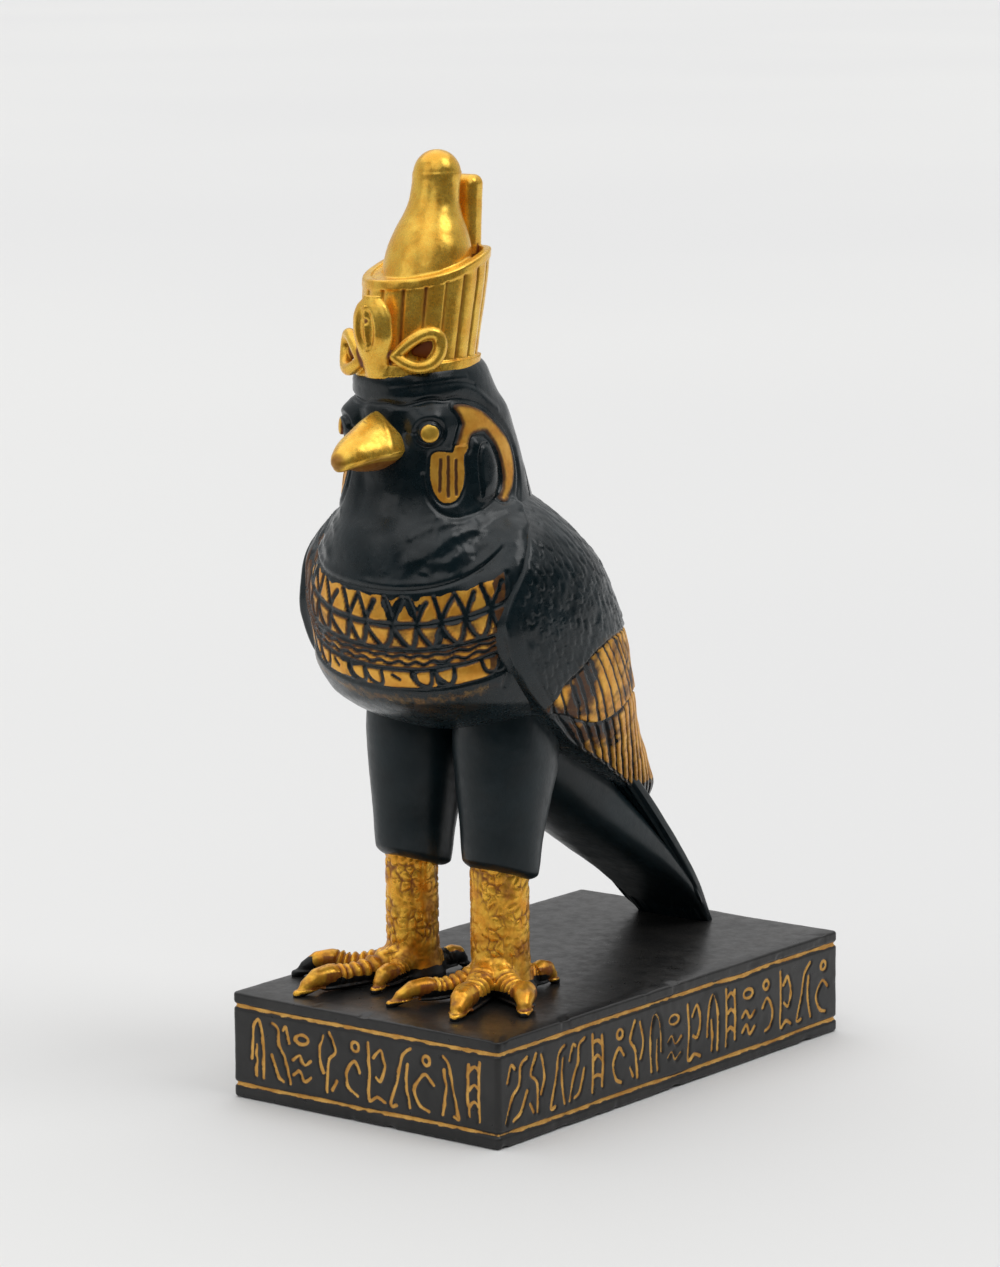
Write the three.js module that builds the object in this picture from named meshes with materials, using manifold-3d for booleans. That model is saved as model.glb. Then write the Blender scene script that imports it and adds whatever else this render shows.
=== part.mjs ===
// Souvenir falcon figure: a falcon with the double crown on an inscribed plinth, cast in one piece.
// Millimetres. +X is the falcon's left side, -Y its front, +Z up, origin at the middle of the underside.
import * as THREE from "three";
import Module from "manifold-3d";

const wasm = await Module();
wasm.setup();

// Plinth
const plinthWidth = 54;
const plinthLength = 91.5;
const plinthHeight = 17.2;
const plinthEdge = 0.9;
const borderInset = 1.7;
const borderWidth = 0.9;
const carvingDepth = 0.5;
const strokeWidth = 0.9;

// Falcon
const wingSpan = 49;
const headWidth = 24.4;
const legSpacing = 17.6;
const trouserWidth = 15.4;
const shankWidth = 8.7;
const shankSpacing = 17.8;
const tailRootWidth = 22.4;
const tailFootWidth = 14;
const tailThickness = 2.6;
const beakWidth = 11.4;
const eyeRadius = 1.6;
const eyeHeight = 0.6;
const browHeight = 3.2;
const toeWidth = 4;
const bellyBase = 43;
const neckBase = 76;
const neckInHead = 7;

// Crown
const cupBase = 98;
const cupHeight = 15.7;
const crownHeight = 34.8;
const spikeHeight = 30.6;
const crownLean = 0.16;
const cupWidth = 18.6;
const cupDepth = 20.8;
const cupPanels = 18;
const panelGroove = 0.55;
const cupRise = 3.8;
const cupTilt = 0.05;
const bulbWidth = 14.2;
const knobWidth = 7.4;
const spikeWidth = 8;
const spikeThickness = 3.2;
const hoodWidth = 7;
const hoodHeight = 12;
const loopThickness = 2.2;
const loopRise = 4.25;
const seat = 1.4;

const TURN = Math.PI * 2;
const mix = (a, b, t) => a + (b - a) * t;

// Smooth curve through key rows [t, value, value, ...] that doesn't overshoot between them.
function track(rows) {
  const last = rows.length - 1;
  const rate = (i, k) => (rows[i + 1][k] - rows[i][k]) / (rows[i + 1][0] - rows[i][0]);
  const slope = (i, k) => {
    if (i === 0) return rate(0, k);
    if (i === last) return rate(last - 1, k);
    const before = rate(i - 1, k);
    const after = rate(i, k);
    return before * after <= 0 ? 0 : (2 * before * after) / (before + after);
  };
  return (t) => {
    let i = 0;
    while (i < last - 1 && t > rows[i + 1][0]) i += 1;
    const span = rows[i + 1][0] - rows[i][0];
    const u = Math.min(1, Math.max(0, (t - rows[i][0]) / span));
    return rows[i].slice(1).map((value, j) => {
      const k = j + 1;
      const rise = rows[i + 1][k] - value;
      const m0 = slope(i, k) * span;
      const m1 = slope(i + 1, k) * span;
      return value + u * (m0 + u * (3 * rise - 2 * m0 - m1 + u * (m0 + m1 - 2 * rise)));
    });
  };
}

// Point of a superellipse section, with its own half-depth in front and behind.
function section(angle, half, front, back, power) {
  const c = Math.cos(angle);
  const s = Math.sin(angle);
  const u = half * Math.sign(c) * Math.abs(c) ** (2 / power);
  const depth = s < 0 ? front : back;
  return [u, depth * Math.sign(s) * Math.abs(s) ** (2 / power)];
}

// Closed solid from rings of points, each end closed by a fan.
function skin(rings) {
  const count = rings[0].length;
  const points = rings.flat();
  const centre = (ring) => [0, 1, 2].map((k) => ring.reduce((sum, p) => sum + p[k], 0) / count);
  points.push(centre(rings[0]), centre(rings[rings.length - 1]));
  const faces = [];
  for (let r = 0; r < rings.length - 1; r += 1) {
    for (let i = 0; i < count; i += 1) {
      const a = r * count + i;
      const b = r * count + ((i + 1) % count);
      faces.push([a, b, b + count], [a, b + count, a + count]);
    }
  }
  const top = (rings.length - 1) * count;
  for (let i = 0; i < count; i += 1) {
    const next = (i + 1) % count;
    faces.push([points.length - 2, next, i]);
    faces.push([points.length - 1, top + i, top + next]);
  }
  return solid(points, faces);
}

function solid(points, faces) {
  const volume = faces.reduce((sum, [a, b, c]) => {
    const [p, q, r] = [points[a], points[b], points[c]];
    return sum + p[0] * (q[1] * r[2] - q[2] * r[1]) + p[1] * (q[2] * r[0] - q[0] * r[2])
      + p[2] * (q[0] * r[1] - q[1] * r[0]);
  }, 0);
  const outward = volume > 0 ? faces : faces.map(([a, b, c]) => [a, c, b]);
  return new wasm.Manifold(new wasm.Mesh({
    numProp: 3,
    vertProperties: new Float32Array(points.flat()),
    triVerts: new Uint32Array(outward.flat()),
  }));
}

// Share along a loft, closer together near both ends.
const spread = (i, count) => 0.5 - 0.5 * Math.cos((Math.PI * i) / count);

// Rounded end: 0 at the very end of a span, 1 from its inner edge on.
const cap = (distance, span) => (distance >= span ? 1 : Math.sqrt(Math.max(0, 1 - (1 - distance / span) ** 2)));

// Loft of level sections. Rows: [height, y, half, front, back, power], half as a share of width / 2.
function levelLoft({ rows, width, x = 0, rings, sides, grow = 0, low = 0, high = 0, shear = () => 0 }) {
  const at = track(rows);
  const start = rows[0][0];
  const end = rows[rows.length - 1][0];
  const made = [];
  for (let r = 0; r <= rings; r += 1) {
    const height = mix(start, end, low || high ? spread(r, rings) : r / rings);
    const [y, half, front, back, power] = at(height);
    const ends = Math.max(0.02, cap(height - start, low) * cap(end - height, high));
    made.push(Array.from({ length: sides }, (_, i) => {
      const [u, v] = section((TURN * i) / sides, ends * (half * width / 2 + grow), ends * (front + grow),
        ends * (back + grow), power);
      return [x + u, y + v, plinthHeight + height + shear(v)];
    }));
  }
  return skin(made);
}

// Loft along a path. Rows: [t, x, y, height, half, up, down, power]; side is the level axis of each section.
function pathLoft({ rows, side, rings, sides, low = 0, high = 0 }) {
  const at = track(rows);
  const across = new THREE.Vector3(...side).normalize();
  const made = [];
  for (let r = 0; r <= rings; r += 1) {
    const t = low || high ? spread(r, rings) : r / rings;
    const [x, y, height, half, up, down, power] = at(t);
    const [x0, y0, h0] = at(Math.max(0, t - 0.01));
    const [x1, y1, h1] = at(Math.min(1, t + 0.01));
    const along = new THREE.Vector3(x1 - x0, y1 - y0, h1 - h0).normalize();
    const normal = new THREE.Vector3().crossVectors(across, along).normalize();
    const ends = Math.max(0.03, cap(t, low) * cap(1 - t, high));
    made.push(Array.from({ length: sides }, (_, i) => {
      const [u, v] = section((TURN * i) / sides, ends * half, ends * down, ends * up, power);
      return [
        x + across.x * u + normal.x * v,
        y + across.y * u + normal.y * v,
        plinthHeight + height + across.z * u + normal.z * v,
      ];
    }));
  }
  return skin(made);
}

// Box with its middle at a point, turned about its own middle.
function block(size, middle, turn = [0, 0, 0]) {
  const geometry = new THREE.BoxGeometry(...size);
  geometry.rotateX(turn[0]).rotateY(turn[1]).rotateZ(turn[2]).translate(...middle);
  return fromGeometry(geometry);
}

function fromGeometry(geometry) {
  const position = geometry.getAttribute("position");
  const seen = new Map();
  const points = [];
  const indexOf = Array.from({ length: position.count }, (_, i) => {
    const p = [position.getX(i), position.getY(i), position.getZ(i)];
    const key = p.map((v) => Math.round(v * 1e4)).join();
    if (!seen.has(key)) seen.set(key, points.push(p) - 1);
    return seen.get(key);
  });
  const order = geometry.index ? Array.from(geometry.index.array) : indexOf.map((_, i) => i);
  const faces = [];
  for (let i = 0; i < order.length; i += 3) {
    const face = [indexOf[order[i]], indexOf[order[i + 1]], indexOf[order[i + 2]]];
    if (new Set(face).size === 3) faces.push(face);
  }
  return solid(points, faces);
}

// Side outline in (y, height), carried through the whole width.
function sideSlab(outline) {
  const shape = new THREE.Shape(outline.map(([y, height]) => new THREE.Vector2(y, plinthHeight + height)));
  const geometry = new THREE.ExtrudeGeometry(shape, { depth: wingSpan + 20, bevelEnabled: false });
  geometry.translate(0, 0, -(wingSpan + 20) / 2);
  geometry.applyMatrix4(new THREE.Matrix4().set(0, 0, 1, 0, 1, 0, 0, 0, 0, 1, 0, 0, 0, 0, 0, 1));
  return fromGeometry(geometry);
}

const union = (parts) => parts.reduce((sum, part) => sum.add(part));
const subtractAll = (whole, parts) => (parts.length ? whole.subtract(union(parts)) : whole);
const bothSides = (make) => [make(-1), make(1)];

// Plinth: a slab with eased edges, gold border lines and rows of strokes cut into its four faces.
function plinth() {
  const eased = (inset, z) => {
    const [w, l] = [plinthWidth / 2 - inset, plinthLength / 2 - inset];
    const corner = 1.3;
    const ring = [];
    for (const [sx, sy, from] of [[1, 1, 0], [-1, 1, 1], [-1, -1, 2], [1, -1, 3]]) {
      for (const step of [0, 0.5, 1]) {
        const angle = ((from + step) * Math.PI) / 2;
        ring.push([sx * (w - corner) + corner * Math.cos(angle), sy * (l - corner) + corner * Math.sin(angle), z]);
      }
    }
    return ring;
  };
  const e = plinthEdge;
  const h = plinthHeight;
  const bevel = 0.3 * e;
  const slab = skin([eased(e, 0), eased(bevel, bevel), eased(0, e), eased(0, h - e), eased(bevel, h - bevel), eased(e, h)]);
  return subtractAll(slab, [...borderLines(), ...strokeRows()]);
}

function faces() {
  return [
    { turn: 0, length: plinthWidth, reach: plinthLength / 2 },
    { turn: Math.PI / 2, length: plinthLength, reach: plinthWidth / 2 },
    { turn: Math.PI, length: plinthWidth, reach: plinthLength / 2 },
    { turn: -Math.PI / 2, length: plinthLength, reach: plinthWidth / 2 },
  ];
}

// Box sunk into an upright face; u runs along the face from its middle, v is the height.
function sunk(face, u, v, size, tilt = 0) {
  const geometry = new THREE.BoxGeometry(size[0], carvingDepth * 2, size[1]);
  geometry.rotateY(tilt).translate(u, -face.reach, v).rotateZ(face.turn);
  return fromGeometry(geometry);
}

function borderLines() {
  const levels = [borderInset + borderWidth / 2, plinthHeight - borderInset - borderWidth / 2];
  return faces().flatMap((face) => levels.map((level) => sunk(face, 0, level, [face.length - 1.2, borderWidth])));
}

// Shallow strokes in the place of the inscription: upright, level and slanted by turns, no letters.
function strokeRows() {
  const made = [];
  const low = borderInset + borderWidth + 1.4;
  const high = plinthHeight - borderInset - borderWidth - 1.4;
  for (const [index, face] of faces().entries()) {
    const pitch = index < 2 ? 4.6 : 13;
    const count = Math.floor((face.length - 6) / pitch);
    for (let i = 0; i < count; i += 1) {
      const u = (i - (count - 1) / 2) * pitch;
      const kind = (i * 3 + index) % 4;
      const middle = (low + high) / 2;
      if (kind === 0) made.push(sunk(face, u, middle, [strokeWidth, high - low - 1.2]));
      if (kind === 1) made.push(sunk(face, u, middle, [strokeWidth, high - low - 1.8], 0.35));
      if (kind === 2) {
        for (const step of [-1, 0, 1]) made.push(sunk(face, u, middle + step * 2.6, [pitch * 0.75, strokeWidth]));
      }
      if (kind === 3) {
        made.push(sunk(face, u, high - 1.4, [pitch * 0.7, strokeWidth], -0.4));
        made.push(sunk(face, u, low + 2.2, [strokeWidth, 3.6], -0.2));
      }
    }
  }
  return made;
}

// Height on the body, as a share of the way from the belly up to where the neck ends inside the head.
const onBody = (share) => mix(bellyBase, neckBase + neckInHead, share);

// Breast and belly, closed below between the legs and carried up into the neck.
const bodyRows = [
  [0, -20, 0.36, 9, 16, 2],
  [0.0375, -20, 0.57, 13.5, 20, 2],
  [0.0875, -19.8, 0.71, 18, 24, 2],
  [0.1625, -19, 0.82, 22.6, 26, 2.1],
  [0.3, -19, 0.89, 25.4, 24, 2.1],
  [0.45, -20, 0.89, 25.4, 23, 2.1],
  [0.6, -22, 0.84, 23.2, 21, 2.1],
  [0.7, -23.5, 0.76, 21.3, 19, 2],
  [0.8, -25, 0.65, 18.9, 17, 2],
  [0.9, -26, 0.53, 15.9, 16, 2],
  [1, -26.2, 0.46, 12.6, 13, 2],
].map(([share, ...rest]) => [onBody(share), ...rest]);

// Outer surface of the folded wings, from the wing tips over the tail up to the shoulders.
const wingRows = [
  [23.4, 20, 0.2, 7, 6.4, 2],
  [26.5, 13.6, 0.34, 11.5, 12.8, 2],
  [29.8, 7, 0.46, 15.5, 16.6, 2],
  [34.8, -0.5, 0.61, 20, 20, 2],
  [39.8, -6, 0.75, 22, 20.8, 2],
  [44.8, -11, 0.87, 23, 22, 2.1],
  [49.8, -14.5, 0.95, 25.4, 22.2, 2.1],
  [54.8, -17, 0.99, 26.3, 22, 2.2],
  [59.8, -19, 1, 26, 21.6, 2.2],
  [64.8, -20.8, 0.98, 24.2, 21, 2.2],
  [68.8, -22.3, 0.95, 22.6, 20, 2.2],
  [72.8, -23.7, 0.87, 20.4, 18.2, 2.1],
  [76.8, -25, 0.7, 17.4, 16.4, 2.1],
  [80, -25.4, 0.5, 13.6, 14.6, 2],
];

// Side outline of the folded wing: leading edge, lower edge, tip, then well clear behind the back.
const wingOutline = [
  [-20, 84], [-24, 79], [-28.5, 74.3], [-31.5, 70.3], [-33.8, 66.3], [-35, 62], [-33.8, 57], [-31, 52.6],
  [-27.2, 48.8], [-22.6, 45.2], [-14.4, 39.9], [-2.7, 34.3], [7.9, 29.2], [16.8, 25.2], [21.5, 23.8], [28, 23.8],
  [40, 40], [40, 84],
];

function wings() {
  const outer = levelLoft({ rows: wingRows, width: wingSpan, rings: 11, sides: 28 });
  return outer.intersect(sideSlab(wingOutline)).subtract(union(featherGrooves()));
}

// Long feathers of the lower wing, cut as grooves between the boundary line and the tip.
function featherGrooves() {
  const inner = levelLoft({ rows: wingRows, width: wingSpan, rings: 11, sides: 28, grow: -0.45 });
  const cuts = [];
  for (const [y0, h0, y1, h1] of [
    [-16, 46, -7, 38.5], [-11, 49, -1, 36.5], [-6, 51.6, 4, 36], [-1, 53.6, 8.6, 34.5], [4, 55, 12.4, 34],
    [8.6, 56, 16.4, 33.8], [0, 35, 14.6, 27], [7.4, 36.6, 18.4, 27.6],
  ]) {
    const length = Math.hypot(y1 - y0, h1 - h0);
    const tilt = Math.atan2(h1 - h0, y1 - y0);
    cuts.push(block([wingSpan + 10, length, 0.7], [0, (y0 + y1) / 2, plinthHeight + (h0 + h1) / 2], [tilt, 0, 0]));
  }
  return cuts.map((cut) => cut.subtract(inner));
}

// Bands of the pectoral: level grooves that follow the breast between the wing edges.
function pectoralGrooves() {
  const inner = levelLoft({ rows: bodyRows, width: wingSpan, rings: 10, sides: 26, grow: -0.45 });
  return [0.595, 0.45, 0.35, 0.2725, 0.1975].map((share) => {
    const band = block([wingSpan - 9, 24, 0.7], [0, -44, plinthHeight + onBody(share)], [0.1, -0.087, 0]);
    return band.subtract(inner);
  });
}

function body() {
  return subtractAll(levelLoft({ rows: bodyRows, width: wingSpan, rings: 10, sides: 26 }), pectoralGrooves());
}

// Height on the head, as a share of the way from the neck up to the crown.
const onHead = (share) => mix(neckBase, cupBase, share);

const headRows = [
  [0, -26, 1.06, 15, 16.2, 2.1],
  [0.21818, -26, 1.05, 15, 15.9, 2.1],
  [0.4, -26.8, 1, 14, 15.3, 2.2],
  [0.58182, -27.5, 0.95, 13, 14.4, 2.3],
  [0.76364, -28, 0.9, 12.2, 13.3, 2.3],
  [0.9, -28.8, 0.83, 11.2, 12.2, 2.2],
  [1.03636, -29.6, 0.75, 10.4, 11.2, 2.1],
  [1.13636, -30, 0.6, 8.6, 8.4, 2.1],
].map(([share, ...rest]) => [onHead(share), ...rest]);

function head() {
  const skull = levelLoft({ rows: headRows, width: headWidth, rings: 8, sides: 24 });
  const gape = onHead(0.54545);
  const beak = pathLoft({
    rows: [
      [0, 0, -34, gape + 0.2, beakWidth * 0.49, 6.2, 2.8, 1.4],
      [0.4, 0, -40.4, gape, beakWidth * 0.49, 5.6, 2.6, 1.4],
      [0.65, 0, -44.6, gape - 0.3, beakWidth * 0.37, 3.7, 2.2, 1.5],
      [0.86, 0, -48, gape - 1, beakWidth * 0.21, 2, 1.5, 1.7],
      [1, 0, -50, gape - 2, beakWidth * 0.06, 0.5, 0.6, 2],
    ],
    side: [-1, 0, 0],
    rings: 7,
    sides: 12,
  });
  const parts = [skull, beak];
  for (const side of [-1, 1]) {
    const brow = new THREE.SphereGeometry(1, 9, 6);
    brow.scale(3, 3.4, browHeight).translate(side * 6.7, -35.9, plinthHeight + onHead(0.73636));
    parts.push(fromGeometry(brow));
    const disc = new THREE.CylinderGeometry(eyeRadius, eyeRadius, eyeHeight * 2, 12);
    disc.rotateZ(-Math.PI / 2 - 0.72).scale(side, 1, 1);
    disc.translate(side * 8.5, -37.9, plinthHeight + onHead(0.66364));
    parts.push(fromGeometry(disc));
  }
  return union(parts);
}

// Tail: a flat blade from under the wing tips down to the plinth, thicker beneath at its root.
function tail() {
  const blade = pathLoft({
    rows: [
      [0, 0, -4, 44, tailRootWidth / 2, tailThickness / 2, tailThickness / 2, 4],
      [0.35, -1, 14, 27, tailRootWidth / 2, tailThickness / 2, tailThickness / 2, 4],
      [0.7, -1.7, 29, 11.5, tailRootWidth * 0.45, tailThickness / 2, tailThickness / 2, 4],
      [1, -1.8, 40, -1, tailFootWidth / 2, tailThickness * 0.45, tailThickness * 0.45, 4],
    ],
    side: [1, 0, 0],
    rings: 7,
    sides: 12,
  });
  const root = pathLoft({
    rows: [
      [0, 0, -8, 38, 9.6, 8, 7, 2.4],
      [0.4, 0, 7, 25, 9.4, 6, 4.6, 2.6],
      [0.62, -0.4, 17.8, 17.8, 9.4, 3.5, 3.9, 3],
      [0.83, -1.1, 28.9, 9.3, 9, 1.7, 1.9, 3],
      [1, -1.6, 38.4, 0.9, 7.1, 0.5, 0.7, 3],
    ],
    side: [1, 0, 0],
    rings: 6,
    sides: 12,
  });
  return blade.add(root);
}

function legs() {
  return union(bothSides((side) => {
    const x = (side * legSpacing) / 2;
    const trouser = levelLoft({
      rows: [
        [19.4, -21.9, 0.7, 5.2, 5.2, 2],
        [20.6, -21.9, 0.78, 5.9, 6, 2],
        [26, -21.8, 0.84, 6.3, 7, 2],
        [34, -21.6, 0.94, 7, 9.4, 2],
        [40, -21.4, 1, 7.4, 11, 2],
        [bellyBase + 7, -21, 0.9, 7, 11, 2],
      ],
      width: trouserWidth,
      x,
      rings: 5,
      sides: 16,
      shear: (v) => -0.34 * v,
    });
    const shank = levelLoft({
      rows: [
        [1.2, -22.6, 1.25, 6, 5, 2],
        [4, -21.8, 1.02, 4.8, 4.6, 2],
        [8, -21.3, 0.94, 4.3, 4.3, 2],
        [22, -21, 1, 4.6, 4.6, 2],
      ],
      width: shankWidth * (1 + 0.1 * side),
      x: side * shankSpacing / 2 - 0.9,
      rings: 4,
      sides: 12,
    });
    return union([trouser, shank, ...toes(side)]);
  }));
}

// Toe with its claw, from the shank to the tip that touches the plinth.
function toe(from, knuckle, tip, size) {
  const level = new THREE.Vector3(tip[1] - from[1], from[0] - tip[0], 0).normalize();
  const bend = [mix(knuckle[0], tip[0], 0.5), mix(knuckle[1], tip[1], 0.5)];
  return pathLoft({
    rows: [
      [0, from[0], from[1], 2.6, toeWidth * 0.55 * size, 2.2, 4, 2],
      [0.35, mix(from[0], knuckle[0], 0.6), mix(from[1], knuckle[1], 0.6), 1.9, toeWidth * 0.5 * size, 1.9, 3, 2],
      [0.6, knuckle[0], knuckle[1], 2.6, toeWidth * 0.52 * size, 2, 3.6, 2],
      [0.7, mix(knuckle[0], bend[0], 0.4), mix(knuckle[1], bend[1], 0.4), 2.6, toeWidth * 0.46 * size, 1.9, 2.6, 2],
      [0.86, bend[0], bend[1], 2.2, toeWidth * 0.36 * size, 1.5, 2, 2],
      [1, tip[0], tip[1], 0.1, toeWidth * 0.06, 0.3, 0.4, 2],
    ],
    side: [level.x, level.y, 0],
    rings: 6,
    sides: 6,
  });
}

function toes(side) {
  const ankle = [side * 9.2, -24];
  const ends = side < 0
    ? [[[-20.6, -27.8], [-25.4, -32.2], 0.9], [[-13.9, -36.6], [-16.1, -42.3], 1], [[-7.6, -28.8], [-7.4, -33.6], 0.9],
      [[-7.4, -14.4], [-6.8, -11], 0.8]]
    : [[[3.6, -33.4], [-0.2, -38.6], 0.9], [[11.6, -34.4], [13.6, -39.5], 1.1], [[18, -27.4], [20.9, -31.6], 1.05],
      [[10.6, -14.6], [11, -11], 0.9]];
  return ends.map(([knuckle, tip, size]) => {
    const from = tip[1] > -20 ? [side * 9.2, -19.5] : ankle;
    return toe(from, knuckle, tip, size);
  });
}

// Double crown: the panelled cup with its upright at the back, the bulb with its knob, the hood and two loops.
function crown() {
  return union([cup(), bulb(), spike(), hood(), ...bothSides(loop)]);
}

const cupRim = cupBase + cupHeight;
const axisY = (height) => -30.4 + crownLean * (height - cupBase);
const rimRise = (u, v) => {
  const t = Math.min(1, Math.max(0, (v + cupDepth / 2) / (cupDepth * 0.9)));
  return cupRise * t * t * (3 - 2 * t) + cupTilt * u;
};

function cup() {
  const perPanel = 3;
  const sides = cupPanels * perPanel;
  const ring = (height, share, inset) => Array.from({ length: sides }, (_, i) => {
    const angle = (TURN * i) / sides - Math.PI / 2;
    const atEdge = i % perPanel === 0;
    const groove = inset < 0 && atEdge ? panelGroove : 0;
    const cut = Math.max(0, inset) + groove;
    const u = (share * cupWidth / 2 - cut) * Math.cos(angle);
    const v = (share * cupDepth / 2 - cut) * Math.sin(angle);
    return [u, axisY(height) + v, v, height];
  });
  const place = (points, rise) => points.map(([x, y, v, height]) => [x, y, plinthHeight + height + rise * rimRise(x, v)]);
  const wall = skin([
    place(ring(cupBase, 0.93, 0), 0),
    place(ring(cupBase + 1.2, 0.94, -1), 0),
    place(ring(cupRim - 1.5, 1, -1), 1),
    place(ring(cupRim - 1.1, 1.02, 0), 1),
    place(ring(cupRim, 1.01, 0.1), 1),
  ]);
  const hollow = skin([
    place(ring(cupRim - 2.6, 0.98, 1.2), 1),
    place(ring(cupRim + 3, 0.98, 1.2), 1),
  ]);
  return wall.subtract(hollow);
}

function bulb() {
  const knob = knobWidth / bulbWidth;
  const rows = [
    [0.17241, 0.98, 6.9, 6.9, 2],
    [0.37356, 1.01, 7.2, 7.2, 2],
    [0.47414, 0.99, 7.1, 7.1, 2],
    [0.56897, 0.94, 6.8, 6.8, 2],
    [0.64655, 0.81, 5.8, 5.8, 2],
    [0.72414, 0.62, 4.5, 4.5, 2],
    [0.78161, knob * 1.03, 3.8, 3.8, 2],
    [0.9023, knob * 1, 3.75, 3.75, 2],
    [1, knob * 0.96, 3.6, 3.6, 2],
  ].map(([share, ...rest]) => {
    const height = cupBase + share * crownHeight;
    return [height, axisY(height), ...rest];
  });
  return levelLoft({ rows, width: bulbWidth, rings: 10, sides: 14, high: 3.4 });
}

function spike() {
  const half = spikeThickness / 2;
  const wall = axisY(cupBase) + cupDepth / 2;
  const rows = [
    [cupBase + 2, wall - 1, 1, half, half, 5],
    [cupBase + cupHeight * 0.8917, wall + 0.4, 1, half, half, 5],
    [cupBase + spikeHeight, wall + 1.1, 0.92, half, half, 5],
  ];
  return levelLoft({ rows, width: spikeWidth, rings: 6, sides: 12, high: 1.2 });
}

function hood() {
  const base = cupBase + seat;
  const wall = axisY(cupBase) - cupDepth / 2;
  return pathLoft({
    rows: [
      [0, 0, wall + 0.2, base, hoodWidth * 0.34, 1.3, 1.8, 2.4],
      [0.35, 0, wall + 0.2, base + hoodHeight * 0.35, hoodWidth * 0.4, 1.3, 1.8, 2.4],
      [0.65, 0, wall + 0.4, base + hoodHeight * 0.65, hoodWidth * 0.52, 1.3, 2, 2.4],
      [1, 0, wall + 1, base + hoodHeight, hoodWidth * 0.44, 1.2, 1.8, 2.4],
    ],
    side: [-1, 0, 0],
    rings: 6,
    sides: 10,
    high: 0.3,
  });
}

// Teardrop loop lying on the cup wall, narrow end at the hood.
function loop(side) {
  const steps = 14;
  const around = 5;
  const rings = [];
  const spot = (t) => {
    const a = TURN * t;
    const far = 0.5 - 0.5 * Math.cos(a);
    const angle = 0.28 + 0.77 * far;
    const height = cupBase + loopRise + 0.7 * side + 1.6 * far + 3.7 * Math.sin(a) * Math.abs(Math.sin(a / 2));
    return new THREE.Vector3(
      side * (cupWidth / 2 + 0.6) * Math.sin(angle),
      axisY(height) - (cupDepth / 2 + 0.6) * Math.cos(angle),
      plinthHeight + height,
    );
  };
  for (let i = 0; i < steps; i += 1) {
    const here = spot(i / steps);
    const along = spot((i + 0.5) / steps).sub(spot((i - 0.5) / steps)).normalize();
    const out = new THREE.Vector3(here.x, here.y + 29, 0).normalize();
    const across = new THREE.Vector3().crossVectors(along, out).normalize();
    rings.push(Array.from({ length: around }, (_, k) => {
      const angle = (TURN * k) / around;
      const p = here.clone();
      p.addScaledVector(out, (loopThickness / 2) * Math.cos(angle));
      p.addScaledVector(across, (loopThickness / 2) * Math.sin(angle));
      return p.toArray();
    }));
  }
  const faces = [];
  for (let r = 0; r < steps; r += 1) {
    for (let k = 0; k < around; k += 1) {
      const [r1, k1] = [(r + 1) % steps, (k + 1) % around];
      faces.push([r * around + k, r * around + k1, r1 * around + k1]);
      faces.push([r * around + k, r1 * around + k1, r1 * around + k]);
    }
  }
  return solid(rings.flat(), faces);
}

const whole = union([plinth(), body(), wings(), head(), tail(), legs(), crown()]);

const mesh = whole.getMesh();
const geometry = new THREE.BufferGeometry();
geometry.setAttribute("position", new THREE.BufferAttribute(new Float32Array(mesh.vertProperties), 3));
geometry.setIndex(Array.from(mesh.triVerts));
const flat = geometry.toNonIndexed();
flat.computeVertexNormals();

const figure = new THREE.Mesh(flat, new THREE.MeshStandardMaterial({ color: 0x1d272a, roughness: 0.4, metalness: 0 }));
figure.name = "horus_falcon_figure";

const group = new THREE.Group();
group.add(figure);
export default group;
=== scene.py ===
import math

import bpy
import numpy as np
from mathutils import Matrix


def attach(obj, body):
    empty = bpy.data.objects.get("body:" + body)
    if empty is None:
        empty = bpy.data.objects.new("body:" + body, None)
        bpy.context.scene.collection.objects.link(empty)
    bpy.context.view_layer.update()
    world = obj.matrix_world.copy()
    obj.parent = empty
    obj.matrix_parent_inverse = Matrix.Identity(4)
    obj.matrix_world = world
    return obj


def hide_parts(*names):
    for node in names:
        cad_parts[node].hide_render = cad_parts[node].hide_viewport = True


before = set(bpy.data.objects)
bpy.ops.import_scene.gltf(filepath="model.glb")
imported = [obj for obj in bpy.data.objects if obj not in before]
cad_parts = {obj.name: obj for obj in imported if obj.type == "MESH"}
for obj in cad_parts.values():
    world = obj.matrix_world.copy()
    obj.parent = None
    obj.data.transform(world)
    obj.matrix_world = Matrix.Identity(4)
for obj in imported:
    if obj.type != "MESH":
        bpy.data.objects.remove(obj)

# Lengths are millimetres; h is the height above the plinth's top. +X is the falcon's left, -Y its front.
MM = 0.001
TURN = 2 * math.pi
QUARTER = 0.5 * math.pi
PLINTH_WIDTH, PLINTH_LENGTH, PLINTH_TOP = 54.0, 91.5, 17.2
NODE = "horus_falcon_figure"
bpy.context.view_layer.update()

# Mesh counts: rings along each loft and points round it, and cell sizes of the distance fields
EDGE_RINGS = 14
TRUNK_RINGS, TRUNK_FRONT, TRUNK_BACK = 222, 296, 104
WING_RINGS, WING_OUTER, WING_INNER = 285, 165, 10
BEAK_RINGS, BEAK_ROUND = 86, 120
TROUSER_HEM_RINGS, TROUSER_RINGS, TROUSER_ROUND = 12, 78, 92
TAIL_RINGS, TAIL_ROUND = 130, 152
TAIL_ROOT_RINGS, TAIL_ROOT_ROUND = 80, 90
EYE_ROUND = 72
PLINTH_WALL_RINGS = 66
CROWN_STEP, FOOT_STEP = 0.2, 0.25


# Curves and distances

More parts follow.
